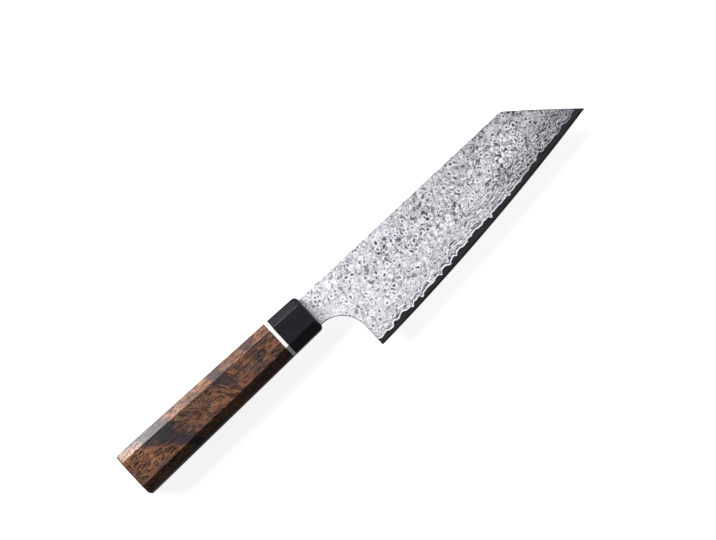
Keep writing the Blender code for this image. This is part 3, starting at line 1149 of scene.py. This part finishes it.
        grid: Grid = []
        for i in range(self.tang_columns):
            share = 1 - i / self.tang_columns
            x = mix(shoulder_x, -self.seat_depth - self.tang_length + inset, share)
            half = mix(tang_half, self.tang_end_height / 2 - inset, share)
            rows = range(low_row, high_row + 1)
            span = high_row - low_row
            grid.append({below + r: (x, mix(-half, half, (r - low_row) / span)) for r in rows})
        grid.append({below + r: (shoulder_x, y) for r, y in enumerate(shoulder)})
        for i in range(1, self.neck_columns + 1):
            x = mix(shoulder_x, self.neck_length, i / self.neck_columns)
            rows_y = self._upper(self.neck_bottom + inset, self.spine_y - inset)
            grid.append({below + r: (x, y) for r, y in enumerate(rows_y)})
        for i in range(1, self.choil_columns):
            turn = QUARTER_TURN * (1 - i / self.choil_columns)
            x = self.neck_length + (self.choil_run + inset) * math.cos(turn)
            y = self.choil_end + (self.choil_height + inset) * math.sin(turn)
            grid.append({below + r: (x, y) for r, y in enumerate(self._upper(y, self.spine_y - inset))})
        places = [heel_x, heel_x + self.support]
        for start, end in ((heel_x + self.support, corner_x), (corner_x, front_x)):
            count = max(2, round((end - start) / self.column_step))
            places += [mix(start, end, i / count) for i in range(1, count + 1)]
        for x in places[:-1]:
            low, high = foot(x), self.top_y(x, inset)
            middle = mix(low, high, heel_share)
            rows_y = self._lower(low, middle, offsets) + self._upper(middle, high)
            grid.append({r: (x, y) for r, y in enumerate(rows_y)})
        last = (places[-1], foot(places[-1]))
        grid.append({r: last for r in grid[-1]})
        return grid

    def _sheet(
        self, shape: bmesh.types.BMesh, grid: Grid, height: Callable[[float, float], float]
    ) -> list[dict[int, bmesh.types.BMVert]]:
        """Cover the grid with faces.

        Args:
            shape: The shape that they are added to.
            grid: The layout of the corners.
            height: The z at each place.

        Returns:
            The corners, in the grid's layout.
        """
        made = []
        for column in grid[:-1]:
            made.append({r: shape.verts.new((x, y, height(x, y))) for r, (x, y) in column.items()})
        x, y = next(iter(grid[-1].values()))
        tip = shape.verts.new((x, y, height(x, y)))
        made.append({r: tip for r in grid[-1]})
        for near, far in zip(made, made[1:]):
            for row in near:
                if row + 1 in near and row in far and row + 1 in far:
                    corners = list(dict.fromkeys((near[row], far[row], far[row + 1], near[row + 1])))
                    shape.faces.new(corners)
        return made

    @staticmethod
    def _rim(grid: Grid) -> list[tuple[int, int]]:
        """Go round the grid, from the heel along the foot, the point and the spine.

        Args:
            grid: The layout of the corners.

        Returns:
            The column and row of each corner on the way.
        """
        heel = next(i for i, column in enumerate(grid) if 0 in column)
        low, high = min(grid[heel - 1]), max(grid[heel])
        neck = next(i for i, column in enumerate(grid) if low in column)
        tang_low, tang_high = min(grid[0]), max(grid[0])
        way = [(i, 0) for i in range(heel, len(grid))]
        way += [(i, high) for i in range(len(grid) - 2, neck - 1, -1)]
        way += [(neck, row) for row in range(high - 1, tang_high - 1, -1)]
        way += [(i, tang_high) for i in range(neck - 1, -1, -1)]
        way += [(0, row) for row in range(tang_high - 1, tang_low - 1, -1)]
        way += [(i, tang_low) for i in range(1, neck + 1)]
        way += [(neck, row) for row in range(tang_low - 1, low - 1, -1)]
        way += [(i, low) for i in range(neck + 1, heel + 1)]
        way += [(heel, row) for row in range(low - 1, 0, -1)]
        return way

    @staticmethod
    def _pushed_out(points: list[Vector], reach: list[float]) -> list[Vector]:
        """How far each corner of a closed outline moves when its sides move out.

        Args:
            points: The corners, going round anticlockwise.
            reach: How far the side from each corner to the next one moves.

        Returns:
            The move of each corner.
        """
        moves = []
        for i, point in enumerate(points):
            ahead = points[(i + 1) % len(points)] - point
            behind = point - points[i - 1]
            n_ahead = Vector((ahead.y, -ahead.x)).normalized()
            n_behind = Vector((behind.y, -behind.x)).normalized()
            cross = n_behind.x * n_ahead.y - n_behind.y * n_ahead.x
            if abs(cross) < NEARLY_STRAIGHT:
                moves.append((n_ahead + n_behind).normalized() * max(reach[i], reach[i - 1]))
                continue
            x = (reach[i - 1] * n_ahead.y - reach[i] * n_behind.y) / cross
            y = (reach[i] * n_behind.x - reach[i - 1] * n_ahead.x) / cross
            moves.append(Vector((x, y)))
        return moves

    @staticmethod
    def _strip(shape: bmesh.types.BMesh, near: Row, far: Row) -> None:
        """Join two closed rows of corners with faces, leaving out sides of no length.

        Args:
            shape: The shape that the faces are added to.
            near: The first row.
            far: The second row, which has as many corners.
        """
        for i in range(len(near)):
            j = (i + 1) % len(near)
            corners = list(dict.fromkeys((near[i], near[j], far[j], far[i])))
            if len(corners) > 2:
                shape.faces.new(corners)

    def _mesh(self, name: str, shape: bmesh.types.BMesh) -> bpy.types.Mesh:
        """Finish a shape: merge its doubles, point its faces out, note its heights and put it in place.

        Args:
            name: The mesh's name.
            shape: The shape, in the knife's own frame.

        Returns:
            The mesh, in the model's frame.
        """
        bmesh.ops.remove_doubles(shape, verts=shape.verts, dist=MERGE_DISTANCE)
        bmesh.ops.recalc_face_normals(shape, faces=shape.faces)
        names = ("over_line", "over_edge", "over_rim")
        over_line, over_edge, over_rim = [shape.verts.layers.float.new(layer) for layer in names]
        for vertex in shape.verts:
            height = self.over_edge(vertex.co.x, vertex.co.y)
            vertex[over_edge] = height
            vertex[over_line] = height - self.core_line(vertex.co.x)
            vertex[over_rim] = self.over_rim(vertex.co.x, vertex.co.y)
        bmesh.ops.translate(shape, verts=shape.verts, vec=self.origin)
        mesh = mesh_of(name, shape)
        mesh.shade_smooth()
        mesh.set_sharp_from_angle(angle=self.smooth_angle)
        return mesh

    def cladding(self, side: Side) -> bpy.types.Mesh:
        """Model one outer layer, with eased borders and a feather edge where the core comes out.

        Args:
            side: The face of the blade that it covers.

        Returns:
            Its mesh.
        """
        sign = side.value
        grid = self.columns(lambda x: self.over_edge_y(x, self.core_line(x)), self.foot_offsets, self.eased)
        shape = bmesh.new()
        outer = self._sheet(shape, grid, lambda x, y: sign * self.outer_half(x, y))
        rim = self._rim(grid)
        points = [Vector(grid[i][row]) for i, row in rim]
        on_foot = [row == 0 for _, row in rim]
        reach = [0.0 if on_foot[i] and on_foot[(i + 1) % len(rim)] else self.eased for i in range(len(rim))]
        moves = self._pushed_out(points, reach)
        rings = [[outer[i][row] for i, row in rim]]
        for step in range(1, self.ease_steps + 1):
            turn = QUARTER_TURN * step / self.ease_steps
            ring = []
            for point, move, foot in zip(points, moves, on_foot):
                full = self.outer_half(*point)
                room = (full - self.bed_half(*point)) * self.ease_share
                drop = 0.0 if foot else min(self.eased, room) * (1 - math.cos(turn))
                place = point + move * math.sin(turn)
                ring.append(shape.verts.new((*place, sign * (full - drop))))
            rings.append(ring)
        inner = self._sheet(shape, grid, lambda x, y: sign * self.bed_half(x, y))
        for (i, row), move in zip(rim, moves):
            inner[i][row].co.x += move.x
            inner[i][row].co.y += move.y
        rings.append([inner[i][row] for i, row in rim])
        for near, far in zip(rings, rings[1:]):
            self._strip(shape, near, far)
        return self._mesh(f"blade_cladding_{side.name.lower()}", shape)

    def core(self) -> bpy.types.Mesh:
        """Model the middle layer with its cutting edge and tang.

        Returns:
            Its mesh.
        """
        grid = self.columns(lambda x: self.over_edge_y(x, 0.0), self.core_offsets, 0.0)
        shape = bmesh.new()
        rim = self._rim(grid)
        rows = []
        for side in Side:
            sheet = self._sheet(shape, grid, lambda x, y: side.value * self.core_half(x, y))
            rows.append([sheet[i][row] for i, row in rim])
        self._strip(shape, rows[0], rows[1])
        return self._mesh("blade_core", shape)

    def build(self) -> None:
        """Build the blade's three layers and dress them."""
        steel = PatternedSteel().make(self.origin)
        core = place_piece("blade_core", self.core(), CoreSteel().make(self.origin))
        hand_over(core, "core_steel")
        for side in Side:
            name = side.name.lower()
            piece = place_piece(f"blade_cladding_{name}", self.cladding(side), steel)
            hand_over(piece, f"cladding_{name}")


@dataclass(frozen=True)
class OctagonBar:
    """One length of the handle: where it runs and how its end edges are rounded, in metres."""

    name: str
    node: str
    slot: str
    rear_x: float
    front_x: float
    rear_radius: float
    front_radius: float


class OctagonTree:
    """A Geometry Nodes tree that makes a length of the tapered octagonal handle."""

    ARRIS_STEPS = 4
    END_STEPS = 8

    def __init__(self, sizes: Iterable[str]) -> None:
        """Build the tree.

        Args:
            sizes: The names of its inputs for sizes.
        """
        self.group = bpy.data.node_groups.new("octagon_bar", "GeometryNodeTree")
        face = self.group.interface
        for name in sizes:
            face.new_socket(name, in_out="INPUT", socket_type="NodeSocketFloat")
        face.new_socket("Material", in_out="INPUT", socket_type="NodeSocketMaterial")
        face.new_socket("Geometry", in_out="OUTPUT", socket_type="NodeSocketGeometry")
        self.identifiers = {item.name: item.identifier for item in face.items_tree if item.in_out == "INPUT"}
        self.maths = Tree(self.group)
        self.given = self.maths.node("NodeGroupInput")
        self._build()

    def _size(self, name: str) -> Term:
        """One of the tree's inputs."""
        return self.maths.term(self.given, name)

    def _build(self) -> None:
        """Lay a grid round the handle's outline, close it and give it its material."""
        m = self.maths
        # A corner has the columns of its arc and a support column on each side. One more closes the eight.
        per_corner = self.ARRIS_STEPS + 3
        around = 8 * per_corner + 1
        # An end has the cap's middle, a support row, the rows of its rounding and a support row past them.
        per_end = self.END_STEPS + 4
        index = m.term(m.node("GeometryNodeInputIndex"))
        row = m.math("FLOOR", (index + 0.5) / around)
        column = index - row * around
        x, inset, swell = self._along(row, per_end)
        y, z = self._around(column, per_corner, x, inset)
        sizes = {"Vertices X": 2 * per_end, "Vertices Y": around}
        geometry = m.node("GeometryNodeMeshGrid", None, sizes).outputs["Mesh"]
        steps = (
            ("GeometryNodeSetPosition", {"Position": m.join(x, y * swell, z * swell)}),
            ("GeometryNodeMergeByDistance", {"Distance": MERGE_DISTANCE}),
            ("GeometryNodeRealizeInstances", {}),
            ("GeometryNodeSetMaterial", {"Material": self.given.outputs["Material"]}),
        )
        for kind, values in steps:
            geometry = m.node(kind, None, {"Geometry": geometry, **values}).outputs[0]
        m.node("NodeGroupOutput", None, {"Geometry": geometry})

    def _along(self, row: Term, per_end: int) -> tuple[Term, Term, Term]:
        """Place a row along the axis.

        Args:
            row: The row's number, from the rear.
            per_end: How many rows each end has.

        Returns:
            Its x, how far it is drawn in, and 0 at the middle of a cap, else 1.
        """
        m = self.maths
        in_front = row > per_end - 0.5
        from_end = row + in_front * ((2 * per_end - 1) - row * 2.0)
        radius = self._size("Rear Radius") * (1.0 - in_front) + self._size("Front Radius") * in_front
        turn = m.clamp((from_end - 2.0) / float(self.END_STEPS)) * QUARTER_TURN
        on_cap = (from_end < 1.5) * self._size("Support")
        past = (from_end > per_end - 1.5) * self._size("Support")
        inset = radius * (1.0 - m.math("SINE", turn)) + on_cap
        reach = radius * (1.0 - m.math("COSINE", turn)) + past
        rear = self._size("Rear X") + reach
        front = self._size("Front X") - reach
        return rear * (1.0 - in_front) + front * in_front, inset, from_end > 0.5

    def _half(self, size: str, share: Term) -> Term:
        """Half of a size that goes from the front's to the butt's by share."""
        return (self._size(f"Front {size}") * (1.0 - share) + self._size(f"Butt {size}") * share) / 2.0

    def _around(self, column: Term, per_corner: int, x: Term, inset: Term) -> tuple[Term, Term]:
        """Place a column on the octagon.

        Args:
            column: The column's number, round the axis.
            per_corner: How many columns each corner has.
            x: Where the row lies along the axis.
            inset: How far it is drawn in.

        Returns:
            Its y and z.
        """
        m = self.maths
        corner = m.math("FLOOR", (column + 0.5) / per_corner)
        step = column - corner * float(per_corner)
        turn = (corner + m.clamp((step - 1.0) / float(self.ARRIS_STEPS))) * EIGHTH_TURN
        slip = ((step > per_corner - 1.5) - (step < 0.5)) * self._size("Support")
        middle = (corner + 0.5) * EIGHTH_TURN
        cosine, sine = m.math("COSINE", middle), m.math("SINE", middle)
        on_side = abs(cosine) > abs(sine)
        share = x / self._size("Handle Length") * -1.0
        radius = self._size("Arris Radius")
        shrink = inset + radius
        chamfer = self._size("Chamfer") - shrink * (2 - math.sqrt(2))
        z = m.math("SIGN", cosine) * (self._half("Width", share) - shrink - chamfer * (1.0 - on_side))
        y = m.math("SIGN", sine) * (self._half("Height", share) - shrink - chamfer * on_side)
        y = y + radius * m.math("SINE", turn) + slip * m.math("COSINE", turn)
        z = z + radius * m.math("COSINE", turn) - slip * m.math("SINE", turn)
        return y, z

    def mesh(self, name: str, sizes: dict[str, float], material: bpy.types.Material) -> bpy.types.Object:
        """Run the tree.

        Args:
            name: The new object's name.
            sizes: A value for each of the tree's sizes.
            material: The material that the tree sets.

        Returns:
            An object that holds the result as a plain mesh.
        """
        holder = add_object("holder", bpy.data.meshes.new("holder"))
        run = holder.modifiers.new("octagon_bar", "NODES")
        run.node_group = self.group
        for key, value in {**sizes, "Material": material}.items():
            run[self.identifiers[key]] = value
        mesh = evaluated_mesh(holder)
        holder.modifiers.remove(run)
        bpy.data.objects.remove(holder)
        mesh.name = name
        return place_piece(name, mesh, material)


@dataclass
class Handle:
    """The octagonal handle: grip, spacer, ferrule and what they hold inside. Lengths are in metres."""

    origin: Vector
    nodes: dict[str, bpy.types.Object]
    length: float = 0.1280
    butt_height: float = 0.0269
    front_height: float = 0.0224
    butt_width: float = 0.0230
    front_width: float = 0.0190
    chamfer: float = 0.00515
    arris_radius: float = 0.0006
    butt_radius: float = 0.0015
    ferrule_length: float = 0.0200
    ferrule_radius: float = 0.0026
    spacer_thickness: float = 0.0020
    joint_radius: float = 0.00008
    glue_line: float = 0.00002
    support: float = 0.00015
    bore_radius: float = 0.0063
    bore_rear_x: float = -0.0868
    ferrule_wall: float = 0.0050
    neck_half_thickness: float = 0.0011
    neck_bottom: float = -0.0094
    neck_top: float = 0.0088
    seat_depth: float = 0.0016
    slot_half_height: float = 0.0040
    slot_half_thickness: float = 0.0012
    bore_sides: int = 48
    overshoot: float = 0.001
    smooth_angle: float = math.radians(35)

    def lengths(self) -> tuple[OctagonBar, OctagonBar, OctagonBar]:
        """Divide the handle.

        Returns:
            The grip, the spacer and the ferrule, from the butt forward.
        """
        ferrule_rear = -self.ferrule_length
        spacer_front = ferrule_rear - self.glue_line
        spacer_rear = spacer_front - self.spacer_thickness
        grip_front = spacer_rear - self.glue_line
        joint = self.joint_radius
        grip = OctagonBar(
            "handle_grip", "handle_body", "figured_wood", -self.length, grip_front, self.butt_radius, joint
        )
        spacer = OctagonBar(
            "handle_spacer", "spacer", "nickel_silver", spacer_rear, spacer_front, joint, joint
        )
        ferrule = OctagonBar(
            "handle_ferrule", "ferrule", "black_horn", ferrule_rear, 0.0, joint, self.ferrule_radius
        )
        return grip, spacer, ferrule

    def _sizes(self, bar: OctagonBar) -> dict[str, float]:
        """List the tree's inputs for one length of the handle.

        Args:
            bar: The length.

        Returns:
            The size for each input's name.
        """
        return {
            "Rear X": bar.rear_x,
            "Front X": bar.front_x,
            "Rear Radius": bar.rear_radius,
            "Front Radius": bar.front_radius,
            "Handle Length": self.length,
            "Butt Height": self.butt_height,
            "Front Height": self.front_height,
            "Butt Width": self.butt_width,
            "Front Width": self.front_width,
            "Chamfer": self.chamfer,
            "Arris Radius": self.arris_radius,
            "Support": self.support,
        }

    def _bore(self, rear_x: float, front_x: float) -> bpy.types.Object:
        """Make a cutter for the dowel's hole.

        Args:
            rear_x: Where it starts.
            front_x: Where it ends.

        Returns:
            The cutter.
        """
        shape = bmesh.new()
        place = Matrix.Translation(((rear_x + front_x) / 2, 0, 0)) @ Matrix.Rotation(QUARTER_TURN, 4, "Y")
        bmesh.ops.create_cone(
            shape,
            cap_ends=True,
            segments=self.bore_sides,
            radius1=self.bore_radius,
            radius2=self.bore_radius,
            depth=front_x - rear_x,
            matrix=place,
        )
        return self._cutter("bore", shape)

    def _pocket(
        self, rear_x: float, front_x: float, low: float, high: float, half: float
    ) -> bpy.types.Object:
        """Make a cutter for a square-cornered hole in the ferrule.

        Args:
            rear_x: Where it starts.
            front_x: Where it ends.
            low: The y of its lower side.
            high: The y of its upper side.
            half: Half its thickness.

        Returns:
            The cutter.
        """
        shape = bmesh.new()
        size = Matrix.Diagonal((front_x - rear_x, high - low, 2 * half, 1.0))
        place = Matrix.Translation(((rear_x + front_x) / 2, (low + high) / 2, 0.0))
        bmesh.ops.create_cube(shape, size=1.0, matrix=place @ size)
        return self._cutter("pocket", shape)

    @staticmethod
    def _cutter(name: str, shape: bmesh.types.BMesh) -> bpy.types.Object:
        """Turn a shape into a cutter object with its faces pointing out."""
        bmesh.ops.recalc_face_normals(shape, faces=shape.faces)
        return add_object(name, mesh_of(name, shape))

    def _carve(self, piece: bpy.types.Object, cutters: Sequence[bpy.types.Object]) -> None:
        """Cut holes into a piece, clean its mesh and move it to its place in the model's frame.

        Args:
            piece: The piece.
            cutters: What is cut out of it. They are removed afterwards.
        """
        shape = bmesh.new()
        shape.from_mesh(piece.data)
        bmesh.ops.recalc_face_normals(shape, faces=shape.faces)
        shape.to_mesh(piece.data)
        shape.free()
        for cutter in cutters:
            taken = piece.modifiers.new(cutter.name, "BOOLEAN")
            taken.operation = "DIFFERENCE"
            taken.object = cutter
        mesh = evaluated_mesh(piece)
        piece.modifiers.clear()
        piece.data = mesh
        for cutter in cutters:
            bpy.data.objects.remove(cutter)
        mesh.transform(Matrix.Translation(self.origin))
        mesh.shade_smooth()
        mesh.set_sharp_from_angle(angle=self.smooth_angle)

    def build(self) -> None:
        """Build the grip, the spacer and the ferrule, and dress what they hold inside."""
        grip, spacer, ferrule = self.lengths()
        tree = OctagonTree(self._sizes(grip))
        past = self.overshoot
        wall, slot_half = self.ferrule_wall, self.slot_half_height
        seat = self._pocket(-self.seat_depth, past, self.neck_bottom, self.neck_top, self.neck_half_thickness)
        slot = self._pocket(-wall - past, 0.0, -slot_half, slot_half, self.slot_half_thickness)
        jobs = (
            (grip, FiguredWood(), [self._bore(self.bore_rear_x, grip.front_x + past)]),
            (spacer, NickelSilver(), [self._bore(spacer.rear_x - past, spacer.front_x + past)]),
            (ferrule, BlackHorn(), [seat, slot, self._bore(ferrule.rear_x - past, -wall)]),
        )
        for bar, finish, cutters in jobs:
            piece = tree.mesh(bar.name, self._sizes(bar), finish.make(self.origin))
            self._carve(piece, cutters)
            hand_over(piece, bar.node)
        self._dress_inside()

    def _dress_inside(self) -> None:
        """Give the dowel and the resin, which stay as they are, their finishes."""
        finishes = {
            "dowel": PlainFinish(
                "dowel_wood", (0.52, 0.36, 0.2), (0.4, 0.25, 0.12), stretch=12.0, scale=1.6, roughness=0.6
            ),
            "tang_bedding": PlainFinish(
                "resin", (0.3, 0.23, 0.12), (0.22, 0.16, 0.08), stretch=1.0, scale=0.5, roughness=0.2
            ),
        }
        for node, finish in finishes.items():
            dress_mesh(self.nodes[node].data, finish.make(self.origin))
            LOG.info("%s: dressed in %s", node, finish.name)


@dataclass(frozen=True)
class Lamp:
    """A soft rectangular lamp that is aimed at the knife. Its place and size are in metres."""

    name: str
    place: tuple[float, float, float]
    size: Point
    watts: float

    def hang(self, target: Vector) -> None:
        """Hang the lamp.

        Args:
            target: The point that it is aimed at.
        """
        data = bpy.data.lights.new(self.name, "AREA")
        data.shape = "RECTANGLE"
        data.size, data.size_y = self.size
        data.energy = self.watts
        lamp = add_object(self.name, data)
        lamp.visible_camera = False
        lamp.location = target + Vector(self.place)
        lamp.rotation_euler = (-Vector(self.place)).to_track_quat("-Z", "Y").to_euler()


@dataclass
class Studio:
    """Plain pale floor, soft light from the spine's side and the photograph's viewpoint."""

    origin: Vector
    distance: float = 3.0
    frame_width: float = 0.3812
    turn_degrees: float = 43.0
    lean_degrees: float = 5.0
    aim: Point = (0.0341, -0.0013)
    sensor_mm: float = 36.0
    clip_start: float = 0.01
    floor_size: float = 40.0
    lit_grey: float = 0.04
    seen_grey: float = 0.45
    seen_glow: float = 0.88
    mirrored_floor: float = 0.12
    seen_world: float = 0.97
    mirrored_world: float = 0.1
    fill: float = 0.03
    lamps: tuple[Lamp, ...] = (
        Lamp("key", place=(-0.30, 0.87, 0.91), size=(1.8, 0.3), watts=32.0),
        Lamp("low", place=(-0.205, 0.35, 0.022), size=(0.235, 0.04), watts=2.3),
        Lamp("top", place=(-0.1, 0.8, 1.0), size=(1.2, 1.0), watts=0.5),
        Lamp("front", place=(1.1, 0.2, 0.65), size=(0.8, 1.2), watts=0.7),
    )

    def camera(self) -> None:
        """Set up the camera."""
        data = bpy.data.cameras.new("camera")
        data.sensor_width = self.sensor_mm
        data.lens = self.sensor_mm * self.distance / self.frame_width
        data.clip_start = self.clip_start
        camera = add_object("camera", data)
        turn = Matrix.Rotation(math.radians(-self.turn_degrees), 4, "Z")
        lean = Matrix.Rotation(math.radians(self.lean_degrees), 4, "X")
        target = Matrix.Translation(self.origin + Vector((*self.aim, 0.0)))
        camera.matrix_world = target @ lean @ turn @ Matrix.Translation((0, 0, self.distance))
        bpy.context.scene.camera = camera

    @staticmethod
    def _rays(tree: Tree, mirrored: float) -> tuple[Term, Term]:
        """Tell the rays apart.

        Args:
            tree: A material's or the world's tree.
            mirrored: How bright the background looks in polished pieces.

        Returns:
            1 for what is seen straight or through something, and this brightness for what is mirrored.
        """
        path = tree.node("ShaderNodeLightPath")
        seen = tree.term(path, "Is Camera Ray") + tree.term(path, "Is Transmission Ray")
        return seen, tree.term(path, "Is Glossy Ray") * mirrored

    def floor(self) -> None:
        """Lay the pale floor on which the knife lies. It looks brighter than the light that it gives back."""
        shape = bmesh.new()
        bmesh.ops.create_grid(shape, x_segments=1, y_segments=1, size=self.floor_size / 2)
        material = bpy.data.materials.new("floor_paper")
        material.use_nodes = True
        tree = Tree(material.node_tree)
        tree.tree.nodes.clear()
        seen, mirrored = self._rays(tree, self.mirrored_floor)
        lit, bright = (
            tree.node("ShaderNodeBsdfDiffuse", None, {"Color": (grey, grey, grey)}).outputs[0]
            for grey in (self.lit_grey, self.seen_grey)
        )
        glowing = {"Color": (1.0, 1.0, 1.0), "Strength": self.seen_glow}
        glow = tree.node("ShaderNodeEmission", None, glowing).outputs[0]
        for_camera = tree.node("ShaderNodeAddShader", None, {0: bright, 1: glow}).outputs[0]
        surface = {0: seen + mirrored, 1: lit, 2: for_camera}
        mixed = tree.node("ShaderNodeMixShader", None, surface).outputs[0]
        tree.node("ShaderNodeOutputMaterial", None, {"Surface": mixed})
        place_piece("floor", mesh_of("floor", shape), material)

    def light(self) -> None:
        """Light the knife from the spine's side, with a weak even fill."""
        for lamp in self.lamps:
            lamp.hang(self.origin)
        world = bpy.data.worlds.new("studio")
        world.use_nodes = True
        bpy.context.scene.world = world
        tree = Tree(world.node_tree)
        tree.tree.nodes.clear()
        seen, mirrored = self._rays(tree, self.mirrored_world)
        shining = {"Color": (1.0, 1.0, 1.0), "Strength": seen * self.seen_world + mirrored + self.fill}
        glow = tree.node("ShaderNodeBackground", None, shining).outputs[0]
        tree.node("ShaderNodeOutputWorld", None, {"Surface": glow})

    def build(self) -> None:
        """Build the studio."""
        self.camera()
        self.floor()
        self.light()
        bpy.context.scene.view_settings.view_transform = "Standard"


def corners(bounds: Sequence[Vector]) -> list[list[float]]:
    """A box as plain lists of numbers."""
    return [list(corner) for corner in bounds]


def main() -> None:
    """Dress the knife and set it in the studio."""
    logging.basicConfig(level=logging.INFO, format="%(name)s: %(message)s")
    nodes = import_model()["nodes"]
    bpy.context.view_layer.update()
    low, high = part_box("ferrule")
    origin = Vector((high.x, (low.y + high.y) / 2, (low.z + high.z) / 2))
    Studio(origin).build()
    Blade(origin).build()
    Handle(origin, nodes).build()


if __name__ == "__main__":
    main()
